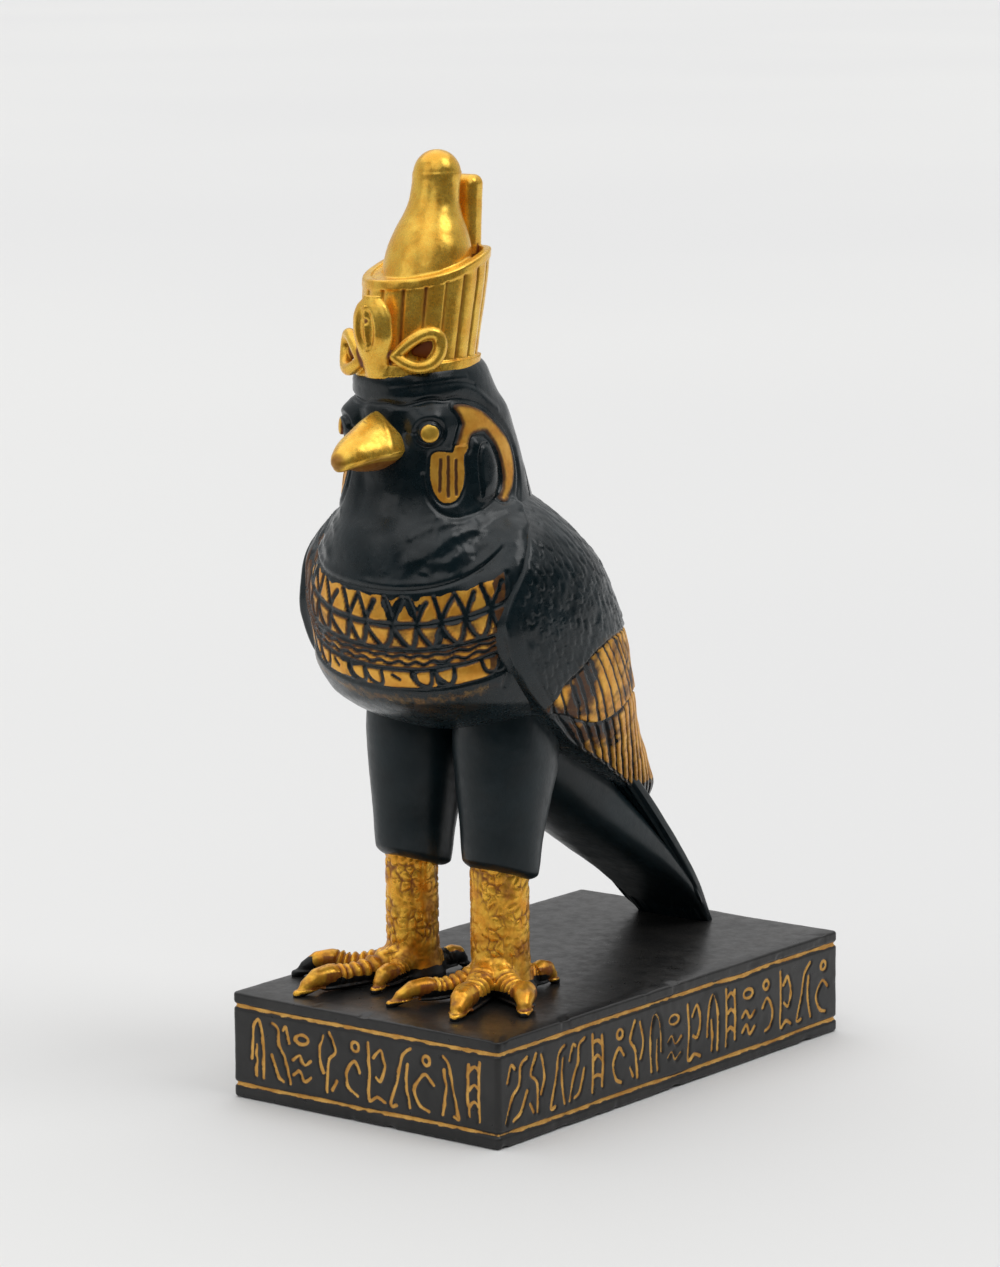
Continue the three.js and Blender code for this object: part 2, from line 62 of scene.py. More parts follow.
def track(rows, t):
    """Values at t of smooth curves through rows [t, value, value, ...] that don't overshoot."""
    rows = np.asarray(rows, float)
    x, v = rows[:, 0], rows[:, 1:]
    span = np.diff(x)[:, None]
    rate = np.diff(v, axis=0) / span
    slope = np.zeros_like(v)
    slope[0], slope[-1] = rate[0], rate[-1]
    both = rate[:-1] * rate[1:]
    total = rate[:-1] + rate[1:]
    slope[1:-1] = np.where(both > 0, 2 * both / np.where(both > 0, total, 1), 0)
    t = np.asarray(t, float)
    i = np.clip(np.searchsorted(x, t, side="right") - 1, 0, len(x) - 2)
    u = np.clip((t - x[i]) / span[i, 0], 0, 1)[..., None]
    rise = v[i + 1] - v[i]
    m0, m1 = slope[i] * span[i], slope[i + 1] * span[i]
    return v[i] + u * (m0 + u * (3 * rise - 2 * m0 - m1 + u * (m0 + m1 - 2 * rise)))


def power_wave(wave, power):
    return np.sign(wave) * np.abs(wave) ** (2 / power)


def smooth(low, high, value):
    t = np.clip((value - low) / (high - low), 0, 1)
    return t * t * (3 - 2 * t)


def mix(a, b, t):
    return a + (b - a) * t


def turns(count):
    return np.linspace(0, TURN, count, endpoint=False)


def easing(count):
    """Shares from 0 towards 1 that start slowly, for rings round an edge."""
    return 1 - np.cos(np.linspace(0, QUARTER, count, endpoint=False))


def rounded(share):
    """Quarter-circle rise from 0 to 1."""
    return np.sqrt(np.clip(1 - (1 - np.clip(share, 0, 1)) ** 2, 0, 1))


def unit(vector):
    vector = np.array(vector, float)
    return vector / np.linalg.norm(vector)


def spline(points, steps=6, closed=False):
    """Points of a rounded line through the given ones."""
    p = np.asarray(points, float)
    n = len(p)
    made = []
    for i in range(n if closed else n - 1):
        at = [(i + k) % n if closed else min(max(i + k, 0), n - 1) for k in (-1, 0, 1, 2)]
        a, b, c, d = p[at]
        square, cube = 2 * a - 5 * b + 4 * c - d, 3 * b - a - 3 * c + d
        for s in range(steps):
            t = s / steps
            made.append(0.5 * (2 * b + (c - a) * t + square * t * t + cube * t**3))
    if not closed:
        made.append(p[-1])
    return np.array(made)


def line_distance(a, b, points, closed=False):
    """Distance in a flat chart (a, b) to a chain of points."""
    best = np.full(a.shape, 1e3)
    ends = list(zip(points[:-1], points[1:]))
    if closed:
        ends.append((points[-1], points[0]))
    for (x0, y0), (x1, y1) in ends:
        dx, dy = x1 - x0, y1 - y0
        t = np.clip(((a - x0) * dx + (b - y0) * dy) / (dx * dx + dy * dy + 1e-12), 0, 1)
        best = np.minimum(best, np.hypot(a - x0 - t * dx, b - y0 - t * dy))
    return best


def curve_distance(a, b, points, steps=6):
    return line_distance(a, b, spline(points, steps))


def region(a, b, points):
    """Signed distance in a chart to a rounded closed outline, positive inside."""
    points = spline(points, 4, closed=True)
    inside = np.zeros(a.shape, bool)
    for (x0, y0), (x1, y1) in zip(points, np.roll(points, -1, axis=0)):
        crosses = (y0 > b) != (y1 > b)
        at = x0 + (b - y0) * (x1 - x0) / np.where(y1 == y0, 1e-9, y1 - y0)
        inside ^= crosses & (a < at)
    return np.where(inside, 1, -1) * line_distance(a, b, points, closed=True)


def ellipse(x, y, a, b):
    """Signed distance to an ellipse, close enough near its edge."""
    k0 = np.sqrt((x / a) ** 2 + (y / b) ** 2)
    k1 = np.sqrt((x / a**2) ** 2 + (y / b**2) ** 2)
    return k0 * (k0 - 1) / np.maximum(k1, 1e-6)


def groove(distance, width, depth):
    return -depth * (1 - smooth(0, width, distance))


def ridge(distance, width, height):
    return height * np.exp(-((distance / width) ** 2))


def swell(distance, radius):
    return 0.5 + 0.5 * np.cos(math.pi * np.clip(distance / radius, 0, 1))


# Seeded roughness

def lattice(i, j, k, seed):
    """Scattered value from -1 to 1 for each cell, from a hash of its place."""
    n = (i * 73856093) ^ (j * 19349663) ^ (k * 83492791) ^ (seed * 26544357 + 1013)
    n = ((n ^ (n >> 13)) * 1274126177) & 0x7FFFFFFF
    n = ((n ^ (n >> 15)) * 1103515245) & 0x7FFFFFFF
    return (n ^ (n >> 16)) / 0x3FFFFFFF - 1


def noise(points, size, seed):
    """Smooth noise from -1 to 1 at points (..., 3), with features of the given size."""
    q = points / size
    i = np.floor(q).astype(np.int64)
    f = q - i
    w = f * f * (3 - 2 * f)
    total = np.zeros(q.shape[:-1])
    for c in range(8):
        o = [c >> 2 & 1, c >> 1 & 1, c & 1]
        weight = np.prod([w[..., k] if o[k] else 1 - w[..., k] for k in range(3)], axis=0)
        total += weight * lattice(*[i[..., k] + o[k] for k in range(3)], seed)
    return total


def pebbles(points, size, seed):
    """Distances to the two nearest of scattered points, as shares of size."""
    q = points / size
    i = np.floor(q).astype(np.int64)
    first, second = np.full(len(points), 9.0), np.full(len(points), 9.0)
    for c in range(27):
        j = i + np.array([c // 9 - 1, c // 3 % 3 - 1, c % 3 - 1])
        spot = np.stack([0.5 + 0.38 * lattice(*j.T, seed + k) for k in range(3)], 1) + j
        d = np.linalg.norm(q - spot, axis=1)
        second = np.where(d < first, first, np.minimum(second, d))
        first = np.minimum(first, d)
    return first, second


# Meshes

def make_mesh(name, points, quads, tris=None, **layers):
    tris = np.zeros((0, 3), int) if tris is None else np.asarray(tris, int)
    quads = np.asarray(quads, int).reshape(-1, 4)
    mesh = bpy.data.meshes.new(name)
    mesh.vertices.add(len(points))
    mesh.vertices.foreach_set("co", (points * MM).astype(np.float32).ravel())
    loops = np.concatenate([quads.ravel(), tris.ravel()]).astype(np.int32)
    mesh.loops.add(len(loops))
    mesh.loops.foreach_set("vertex_index", loops)
    mesh.polygons.add(len(quads) + len(tris))
    starts = np.concatenate([np.arange(len(quads)) * 4, len(quads) * 4 + np.arange(len(tris)) * 3])
    mesh.polygons.foreach_set("loop_start", starts.astype(np.int32))
    mesh.update(calc_edges=True)
    mesh.polygons.foreach_set("use_smooth", np.ones(len(mesh.polygons), bool))
    for layer, values in layers.items():
        attribute = mesh.attributes.new(layer, "FLOAT", "POINT")
        attribute.data.foreach_set("value", np.asarray(values, np.float32).ravel())
    thing = bpy.data.objects.new(name, mesh)
    bpy.context.scene.collection.objects.link(thing)
    return thing


def lift(points):
    return points + np.array([0, 0, PLINTH_TOP])


def ring_faces(rings, count):
    """Quads of closed rings of points, and a fan on a middle point at each end."""
    r, i = np.meshgrid(np.arange(rings - 1), np.arange(count), indexing="ij")
    a, b = r * count + i, r * count + (i + 1) % count
    quads = np.stack([a, b, b + count, a + count], -1).reshape(-1, 4)
    k = np.arange(count)
    last = (rings - 1) * count
    low = np.stack([np.full(count, rings * count), (k + 1) % count, k], -1)
    high = np.stack([np.full(count, rings * count + 1), last + k, last + (k + 1) % count], -1)
    return quads, np.concatenate([low, high])


def normals_of(grid):
    """Outward normals of rings of points, shape (rings, count, 3)."""
    along = np.gradient(grid, axis=0)
    around = np.roll(grid, -1, axis=1) - np.roll(grid, 1, axis=1)
    normal = np.cross(around, along)
    return normal / np.maximum(np.linalg.norm(normal, axis=2, keepdims=True), 1e-9)


def carved(grid, relief):
    return grid + normals_of(grid) * relief[..., None]


def ring_mesh(name, grid, **layers):
    """Closed mesh of rings; each ring runs anticlockwise seen from its far end."""
    quads, tris = ring_faces(*grid.shape[:2])
    points = np.concatenate([grid.reshape(-1, 3), [grid[0].mean(0)], [grid[-1].mean(0)]])
    for key, value in layers.items():
        layers[key] = np.concatenate([value.ravel(), [value[0].mean()], [value[-1].mean()]])
    return make_mesh(name, lift(points), quads, tris, **layers)


def level_grid(rows, levels, angles):
    """Rings of level sections, from rows [h, y, half, front, back, power]. Angle 0 is +X, -90 the front."""
    y, half, front, back, power = track(rows, levels).T[:, :, None]
    c, s = np.cos(angles)[None], np.sin(angles)[None]
    u = half * power_wave(c, power)
    v = np.where(s < 0, front, back) * power_wave(s, power)
    h = np.broadcast_to(np.asarray(levels)[:, None], u.shape)
    return np.stack([u, y + v, h], -1)


def path_grid(rows, shares, angles, across):
    """Rings along a path. Rows: [t, x, y, h, half, up, down, power]; across is the direction of half."""
    x, y, h, half, up, down, power = track(rows, shares).T
    before, after = (track(rows, np.clip(shares + step, 0, 1))[:, :3] for step in (-0.01, 0.01))
    ahead = after - before
    ahead /= np.linalg.norm(ahead, axis=1, keepdims=True)
    across = unit(across)
    normal = np.cross(across, ahead)
    normal /= np.linalg.norm(normal, axis=1, keepdims=True)
    c, s = np.cos(angles)[None], np.sin(angles)[None]
    u = half[:, None] * power_wave(c, power[:, None])
    v = np.where(s < 0, down[:, None], up[:, None]) * power_wave(s, power[:, None])
    return np.stack([x, y, h], -1)[:, None] + u[..., None] * across + v[..., None] * normal[:, None]


# Surfaces of distance fields

BLOCK = 4
CORNERS = [(i, j, k) for i in (0, 1) for j in (0, 1) for k in (0, 1)]


def sampled(field, low, high, step):
    """Field values at cell middles, worked out only in the blocks near the surface."""
    counts = np.ceil((np.asarray(high) - low) / (step * BLOCK)).astype(int)
    centres = np.stack(np.meshgrid(*[(np.arange(n) + 0.5) * BLOCK for n in counts], indexing="ij"), -1)
    coarse = field(low + centres.reshape(-1, 3) * step).reshape(counts)
    fill = np.ones((BLOCK,) * 3)
    values = np.kron(np.sign(coarse) * 9, fill)
    fine = np.argwhere(np.kron(np.abs(coarse) < step * BLOCK * 1.3, fill) > 0.5)
    values[tuple(fine.T)] = field(low + (fine + 0.5) * step)
    return values


def cell_points(values, cells):
    """One point in each cell: the mean of where the surface crosses the cell's edges."""
    total, weight = np.zeros((len(cells), 3)), np.zeros(len(cells))
    for a in range(8):
        for b in range(a + 1, 8):
            oa, ob = np.array(CORNERS[a]), np.array(CORNERS[b])
            if np.abs(oa - ob).sum() != 1:
                continue
            va, vb = values[tuple((cells + oa).T)], values[tuple((cells + ob).T)]
            hit = (va < 0) != (vb < 0)
            t = np.where(hit, va / np.where(hit, va - vb, 1), 0)
            total += np.where(hit[:, None], oa + (ob - oa) * t[:, None], 0)
            weight += hit
    return cells + total / weight[:, None]


def cell_faces(inside, index):
    """A quad between the four cells round each edge that crosses the surface."""
    faces = []
    size = inside.shape
    for axis in range(3):
        b, c = (axis + 1) % 3, (axis + 2) % 3
        here = inside.take(range(size[axis] - 1), axis) != inside.take(range(1, size[axis]), axis)
        edges = np.argwhere(here)
        within = (edges[:, b] > 0) & (edges[:, c] > 0)
        within &= (edges[:, b] < size[b] - 1) & (edges[:, c] < size[c] - 1)
        edges = edges[within]
        eb, ec = np.eye(3, dtype=int)[b], np.eye(3, dtype=int)[c]
        quad = np.stack([index[tuple((edges - o).T)] for o in (eb + ec, ec, 0 * eb, eb)], -1)
        outward = inside[tuple(edges.T)]
        faces.append(np.where(outward[:, None], quad, quad[:, ::-1]))
    return np.concatenate(faces)


def field_mesh(name, field, low, high, step, **layers):
    """Mesh of the surface field(points) = 0, negative inside; layers are functions of points."""
    low = np.asarray(low, float)
    values = sampled(field, low, high, step)
    inside = values < 0
    size = np.array(values.shape)
    count = np.zeros(size - 1, np.int8)
    for i, j, k in CORNERS:
        count += inside[i : size[0] - 1 + i, j : size[1] - 1 + j, k : size[2] - 1 + k]
    cells = np.argwhere((count > 0) & (count < 8))
    index = np.full(size - 1, -1)
    index[tuple(cells.T)] = np.arange(len(cells))
    points = low + (cell_points(values, cells) + 0.5) * step
    for _ in range(3):
        slope = np.stack([field(points + d) - field(points - d) for d in np.eye(3) * 0.04], -1) / 0.08
        move = slope * (field(points) / np.maximum((slope**2).sum(1), 0.2))[:, None]
        points = points - np.clip(move, -step * 0.5, step * 0.5)
    made = {key: layer(points) for key, layer in layers.items()}
    return make_mesh(name, lift(points), cell_faces(inside, index), **made)


def soft_min(a, b, blend):
    near = np.maximum(blend - np.abs(a - b), 0) / blend
    return np.minimum(a, b) - near * near * blend / 4


def chain_distance(points, line):
    """Distance to a chain of (x, y, h, radius) less its radius, and how far along it the nearest spot is."""
    best, where = np.full(len(points), 1e3), np.zeros(len(points))
    for i, (a, b) in enumerate(zip(line[:-1], line[1:])):
        axis = b[:3] - a[:3]
        t = np.clip(((points - a[:3]) @ axis) / (axis @ axis), 0, 1)
        d = np.linalg.norm(points - a[:3] - t[:, None] * axis, axis=1) - mix(a[3], b[3], t)
        where = np.where(d < best, i + t, where)
        best = np.minimum(best, d)
    return best, where


# Body and head in one loft, from the belly up to the crown

TRUNK_ROWS = [
    [43, -20, 8.8, 9, 16, 2],
    [44.5, -20, 14, 13.5, 20, 2],
    [46.5, -19.8, 17.4, 18, 24, 2],
    [49.5, -19, 20.1, 22.6, 26, 2.1],
    [55, -19, 21.8, 25.4, 24, 2.1],
    [61, -20, 21.8, 25.4, 23, 2.1],
    [67, -22, 20.6, 23.2, 21, 2.1],
    [71, -23.5, 18.6, 21.3, 19, 2],
    [75, -25, 15.9, 18.9, 17, 2],
    [78.5, -25.8, 13.7, 16.1, 16.4, 2.05],
    [81.4, -26.1, 12.8, 14.9, 15.9, 2.1],
    [84.8, -26.8, 12.2, 14, 15.3, 2.2],
    [88.8, -27.5, 11.6, 13, 14.4, 2.3],
    [92.8, -28, 11, 12.2, 13.3, 2.3],
    [95.8, -28.8, 10.1, 11.2, 12.2, 2.2],
    [98.4, -29.6, 9.7, 10.9, 11.6, 2.1],
    [99.9, -29.9, 9.1, 10.3, 11, 2.1],
    [100.8, -30, 7.8, 9, 9.6, 2.1],
]

# Charts round the head and the chest: y of the line they turn about, and radius, so that a unit is about 1 mm
HEAD_AXIS, HEAD_RADIUS = -27, 12
CHEST_AXIS, CHEST_RADIUS = -20, 24.5

# Lines and outlines on the head, in its chart (distance round from the beak, h)
EYE = (7.9, 90.8)
EYE_RADIUS = 1.42
SICKLE = [
    (12.4, 94.8), (14.6, 94.5), (18.3, 93), (21.5, 90.5), (23.6, 88.2), (24.2, 85.1), (23.2, 82.3),
    (21.6, 80.4), (19.6, 79.2), (18.9, 80), (20.3, 81.9), (20.7, 84.6), (19.9, 87.7), (18.3, 89.7),
    (17.3, 90.3), (14.9, 90.1), (14.1, 89.2), (13.8, 87.9), (13.1, 86.8), (13.1, 84.8), (13, 83.3),
    (12.4, 81.5), (11.5, 80.3), (10, 80), (9, 80.8), (8.2, 82.8), (8, 85.1), (8.5, 87.7), (11.2, 87.6),
    (11.6, 88.4), (12.1, 89.6), (12.5, 90.8), (12.9, 91.8), (12.6, 93), (11.6, 94.4),
]
STRIPES = [((9.5, 86.6), (9.3, 81.8)), ((10.6, 87), (10.5, 81)), ((11.8, 86.4), (11.7, 81.2))]
BROW = [
    (0, 95), (1.4, 95.1), (3.7, 94.8), (5.9, 95.2), (8.1, 95.7), (10.4, 95.5), (12.6, 95.7), (15.6, 95.2),
    (19.1, 94), (22.6, 91.5), (25.1, 88.5), (25.8, 84.9), (24.8, 81.4), (22.6, 78.6),
]
CAP_FOLD = [(0, 96.3), (3.5, 96.3), (7.4, 96.7), (11, 97), (14.6, 96.9), (18.6, 95.7), (22.4, 93.4)]
CAP_CREASE = [(2.4, 97.5), (7.5, 97.9), (13, 98), (17, 97.2)]
CAP_TOP_FOLD = [(6, 98.5), (11, 98.7), (15, 98.5)]
EAR = [
    (14.7, 89.4), (17, 89.6), (18.8, 88.3), (19.8, 85.4), (19.5, 82.4), (18.1, 80.6), (16, 79.7),
    (14.3, 80.6), (13.9, 83.5), (14, 86.8),
]
EAR_GROOVE = [(17.6, 88.4), (16.2, 88.3), (15.5, 86.6), (15.4, 83.6), (15.6, 80.8)]
CHEEK_GROOVE = [(7, 84.4), (7.5, 81.2), (9, 78.8), (11.2, 77.7), (13.5, 77.9), (16.4, 78.9), (19, 80.2)]
CHEEK_RIDGE = [(8.6, 77.5), (11.2, 76.5), (14, 76.7), (17.5, 77.8), (21, 79)]


def head_relief(u, h, rough, folds):
    """Carving of one side of the head, signed distance inside the gilding, and brown wash, darker along the
    gilding's edges.
    """
    brow_swell = np.hypot(u - 8.4, (h - 93.3) * 1.5)
    d = 1.25 * swell(np.hypot((u - 8.3) / 1.05, h - 91.5), 4.6) + 0.35 * swell(brow_swell, 3.2)
    d += groove(np.abs(np.hypot(u - EYE[0], h - EYE[1]) - 1.8), 0.6, 0.55)
    d += groove(line_distance(u, h, [(4.6, 90.9), (6.1, 90.8)]), 0.35, 0.3)
    d -= 0.7 * np.exp(-((u - 4.2) ** 2 / 1.6 + (h - 91.3) ** 2 / 7))
    d += groove(curve_distance(u, h, BROW), 0.75, 0.42)
    d += ridge(curve_distance(u, h, CAP_FOLD), 0.6, 0.2) * folds
    d += groove(curve_distance(u, h, CAP_CREASE), 0.5, 0.14) * folds
    d += ridge(curve_distance(u, h, CAP_TOP_FOLD), 0.35, 0.12) * folds
    gold = region(u, h, SICKLE)
    sickle = (u > 13.8) | (h > 88.6)
    d += np.where(sickle, 0.3, -0.12) * smooth(-0.25, 0.25, gold)
    d += groove(np.abs(gold + 0.3), 0.4, 0.22)
    # Darker along the inner edges of the gilding, in the groove round it
    edge_wash = 0.6 * (1 - smooth(0.1, 0.9, gold))
    wash = np.where(sickle, 0.3 + 0.12 * rough + edge_wash, 0.1 + 0.12 * rough)
    for ends in STRIPES:
        stripe = line_distance(u + 0.05 * rough, h, ends)
        d += groove(stripe, 0.34, 0.18)
        wash = np.maximum(wash, 1 - smooth(0.1, 0.5, stripe))
    ear = region(u, h, EAR)
    d += 0.85 * np.sqrt(smooth(-0.1, 2.2, ear))
    d += groove(curve_distance(u, h, EAR_GROOVE), 0.4, 0.42) * (ear > 0)
    d += groove(curve_distance(u, h, CHEEK_GROOVE), 0.55, 0.35)
    d += ridge(curve_distance(u, h, CHEEK_RIDGE), 0.6, 0.35)
    return d * smooth(76, 80, h), np.where(h > 78, gold, -3), wash


# Breast pattern: levels of its lines where it is lowest, a little to the falcon's left of the middle
PATTERN_MIDDLE = 7
PATTERN_TOP, ZIGZAG_FOOT, ARC_FOOT, WAVE_FOOT, PATTERN_LOW = 66.3, 61.9, 57.9, 54.85, 51.5
PATTERN_PITCH = 3.85
PATTERN_MARKS = 13
# Level, steepening and width of each plain line; level, phase and reach of each wave
PLAIN_LINES = (
    (ZIGZAG_FOOT, 1.15, 0.42), (ARC_FOOT, 1.0, 0.32), (WAVE_FOOT, 1.0, 0.32), (PATTERN_LOW, 1.0, 0.26),
)
WAVES = ((57.0, 0.3, 0.17), (55.9, 1.4, 0.24))


def chest_line(u, level, rise=1.0):
    """Height of a line of the breast pattern round the chest."""
    side = u - PATTERN_MIDDLE
    bend = np.where(side > 0, 0.0105, 0.0078 + 0.001 * smooth(8, 26, -side))
    return level + rise * bend * side**2


def pattern_cuts(u, h, grid, wobble, rng):
    """Distances to the cut lines of the breast pattern, each as a share of its line's width."""
    cuts = []

    def at(u0, level, rise=1.0):
        return u0, float(chest_line(np.array(u0), level, rise))

    def cut(distance, width):
        cuts.append(distance / width)

    for level, rise, width in PLAIN_LINES:
        cut(np.abs(h - chest_line(u, level, rise) - 0.1 * wobble), width)
    for level, phase, reach in WAVES:
        wave = reach * np.sin(TURN * u / 3.1 + phase + 1.2 * noise(grid, 6, 4))
        cut(np.abs(h - chest_line(u, level) - wave - 0.12 * wobble), 0.21)
    marks = np.arange(-7, 6) * PATTERN_PITCH + 5.8 + rng.uniform(-0.35, 0.35, PATTERN_MARKS)
    for i, m in enumerate(marks):
        lean = rng.uniform(-0.35, 0.35)
        left = at(m - 1.35 + lean, PATTERN_TOP - 0.3)
        right = at(m + 1.55 + lean, PATTERN_TOP - rng.uniform(0.2, 1.2))
        foot = at(m, ZIGZAG_FOOT + 0.15, 1.15)
        cut(curve_distance(u, h, [left, at(m - 0.45 + 0.3 * lean, 63.8), foot]), 0.3)
        cut(curve_distance(u, h, [foot, at(m + 0.75 + 0.4 * lean, 64), right]), 0.32)
        if i + 1 < PATTERN_MARKS:
            n = marks[i + 1]
            low = mix(m, n, rng.uniform(0.58, 0.76))
            arc = [
                at(m + 0.1, ZIGZAG_FOOT - 0.1, 1.15), at(m + 0.5, ZIGZAG_FOOT - 1.4, 1.1),
                at(mix(m, low, 0.62), ARC_FOOT + 1.05), at(low, ARC_FOOT + 0.3),
                at(mix(low, n, 0.6), ARC_FOOT + 1.3), at(n - 0.15, ZIGZAG_FOOT - 1.2, 1.1),
                at(n - 0.05, ZIGZAG_FOOT - 0.1, 1.15),
            ]
            cut(curve_distance(u, h, arc, 4), 0.3)
        if i % 3 != 1:
            foot = at(m + 1.2, PATTERN_LOW + 0.35)
            middle = at(m - 0.4, 0.5 * (WAVE_FOOT + PATTERN_LOW) - 0.5)
            cut(curve_distance(u, h, [at(m - 1.3, WAVE_FOOT - 0.2), middle, foot]), 0.3)
            climb = [foot, at(m + 1.9, PATTERN_LOW + 1.2), at(m + 1.9, WAVE_FOOT - 0.5)]
            cut(curve_distance(u, h, climb), 0.26)
        elif rng.uniform() < 0.7:
            cut(line_distance(u, h, [at(m - 0.6, WAVE_FOOT - 0.9), at(m + 0.5, WAVE_FOOT - 1.6)]), 0.22)
    return np.min(cuts, axis=0)


def pectoral(u, h, grid, rng):
    """Carved and gilded bands between the wings: depth, gilt distance, wash with painted shade, and distance
    inside them.
    """
    wobble = noise(grid, 2.2, 3)
    cuts = pattern_cuts(u, h, grid, wobble, rng)
    scallop = 0.35 * np.abs(np.sin(math.pi * (u - 5.8) / PATTERN_PITCH)) + 0.2 * wobble
    band = np.minimum(chest_line(u, PATTERN_TOP) - 0.3 + scallop - h, h - chest_line(u, PATTERN_LOW - 0.05))
    band = np.minimum(band, 22.6 + 0.5 * wobble - np.abs(u - 0.3))
    thin = noise(grid, 3.1, 6) + 0.6 * noise(grid, 1.1, 9)
    # Gilding thinned towards the falcon's right side and the bottom: worn gilding, with painted shade on the
    # side turned from the light
    edges = 0.5 * (1 - smooth(-16, -2, u)) + 0.2 * (1 - smooth(52, 56, h))
    gold = np.minimum(band, (cuts - 1) * 0.3) - 0.45 * smooth(0.25, 1.0, thin + edges)
    level = h - chest_line(u, 0)
    dull = smooth(54.5, 56, level) * (1 - smooth(60.6, 61.6, level))
    # Browner round the cut lines and over the falcon's right side, which is turned from the light: painted
    # shade. Browner also over the middle band and in cloudy patches.
    wash = 0.9 * (1 - smooth(0.9, 2.5, cuts)) + (0.45 + 0.25 * dull) * (1 - smooth(-20, 2, u))
    wash = wash + 0.28 * dull + 0.42 * smooth(-0.2, 0.9, thin)
    wash = np.where(band > -1, np.clip(wash, 0, 0.95), 0)
    inside = np.minimum(chest_line(u, PATTERN_TOP + 0.4) - h, h - chest_line(u, PATTERN_LOW - 0.6))
    depth = -0.36 * (1 - smooth(0.35, 1.6, cuts)) * smooth(-0.3, 0.6, inside)
    return depth, gold, wash, band


# Lines below the head, in the chest's chart (distance round from the front, h)
BIB = [
    (-30, 75.5), (-20, 72.2), (-12, 69.6), (-6, 68.2), (1, 67.4), (7, 67.2), (13, 67.9), (19, 69.8),
    (23.5, 72.4),
]
WING_CREASE = [
    (21.5, 79.5), (23.6, 77.8), (25.4, 75), (26.3, 71.5), (26.6, 67), (26.2, 62), (25, 57), (24, 52),
]
# Rows: [h, fullness, distance round from the middle] of the shoulders in front of the wings
SHOULDER = [
    [58, 0, 24], [62, 0.9, 24.2], [66, 1.8, 24.8], [70, 3.0, 26.5], [74, 3.0, 28.6], [77, 1.9, 31],
    [80, 0, 32],
]
# Points, width and height of each fold
NECK_FOLDS = [
    ([(8.6, 71.6), (12.6, 73.6), (15.7, 75.2), (21, 76.6), (27, 77.4), (33, 78.3)], 1.2, 0.34),
    ([(15, 71.4), (18.6, 73), (22, 74.8), (25.5, 75.4)], 1.2, 0.2),
    ([(11.5, 70.6), (14.2, 71.4), (16, 72.9)], 0.9, 0.14),
    ([(8, 75), (11.2, 76.2), (16.5, 77.2), (21, 77.9)], 0.5, 0.14),
]
WRINKLE_SLANT = np.array([[1, 0, 0.35], [0, 1, 0], [-0.35, 0, 1]])


def neck_relief(around, h, grid, broad):
    """Shoulders, bib line, folds and crumple below the head."""
    side = np.abs(around)
    d = groove(curve_distance(around, h, BIB), 0.42, 0.34)
    d += ridge(line_distance(around, h, spline(BIB) + [0, 0.9]), 0.5, 0.12)
    amount, middle = np.moveaxis(track(SHOULDER, h), -1, 0)
    d += amount * np.where(side < middle, swell(middle - side, 10), swell(side - middle, 4.5))
    for points, width, height in NECK_FOLDS:
        d += ridge(curve_distance(side + 0.8 * broad, h + 0.5 * broad, points), width, height)
    slanted = grid @ WRINKLE_SLANT
    wrinkles = -np.abs(noise(slanted * [0.9, 0.9, 1.2], 2.4, 21)) - 0.45 * np.abs(noise(slanted, 1.4, 22))
    crumple = smooth(5, 14, side) * smooth(67.5, 70.5, h) * (1 - smooth(76.5, 79, h))
    d += 0.22 * crumple * (wrinkles + 0.2 * noise(grid, 0.7, 23))
    return d + groove(curve_distance(side, h, WING_CREASE), 0.9, 0.35) * (1 - smooth(62, 66, h))


def trunk():
    front = np.linspace(-200, 20, TRUNK_FRONT, endpoint=False)
    back = np.linspace(20, 160, TRUNK_BACK, endpoint=False)
    angles = np.radians(np.concatenate([front, back]))
    levels = np.concatenate([43 + 3.4 * easing(EDGE_RINGS), np.linspace(46.4, 100.8, TRUNK_RINGS)])
    grid = level_grid(TRUNK_ROWS, levels, angles)
    x, y, h = np.moveaxis(grid, -1, 0)
    rough, broad = noise(grid, 0.9, 11), noise(grid, 4.5, 12)
    u = HEAD_RADIUS * np.arctan2(np.abs(x), -(y - HEAD_AXIS))
    u = u + (0.8 + 1.6 * (1 - smooth(84, 88, h))) * smooth(0.5, 4, -x)
    folds = mix(0.25, 1, smooth(1, 6, x + rough)) * (0.75 + 0.35 * broad)
    relief, face_gold, wash = head_relief(u, h, rough, folds)
    around = CHEST_RADIUS * np.arctan2(x, -(y - CHEST_AXIS))
    depth, bands, band_wash, band = pectoral(around, h, grid, np.random.default_rng(7))
    relief = relief + depth
    relief += 0.95 * (x < 0) * swell(np.hypot((u - 8.5) / 1.2, (h - 81.5) / 1.1), 5.5)
    relief += neck_relief(around, h, grid, broad) + 0.05 * broad + 0.018 * rough
    grid = carved(grid, relief)
    grid[..., 2] += smooth(95, 100, h) * (0.05 * (0.78 * x + 0.62 * (y + 30)) - 0.1)
    below = np.clip(1 - np.abs(h - chest_line(around, 49.7)) / 2.6, 0, 1) * (np.abs(around) < 24)
    faint = np.clip(0.6 * below + 0.25 * smooth(-0.5, 0.5, band) * (1 - smooth(-14, 0, around)), 0, 1)
    gilt = np.clip(np.maximum(face_gold, bands), -2, 2)
    return ring_mesh("falcon_trunk", grid, gilt=gilt, wash=np.maximum(wash, band_wash), faint=faint)


# Wings: one half each side, meeting along the back

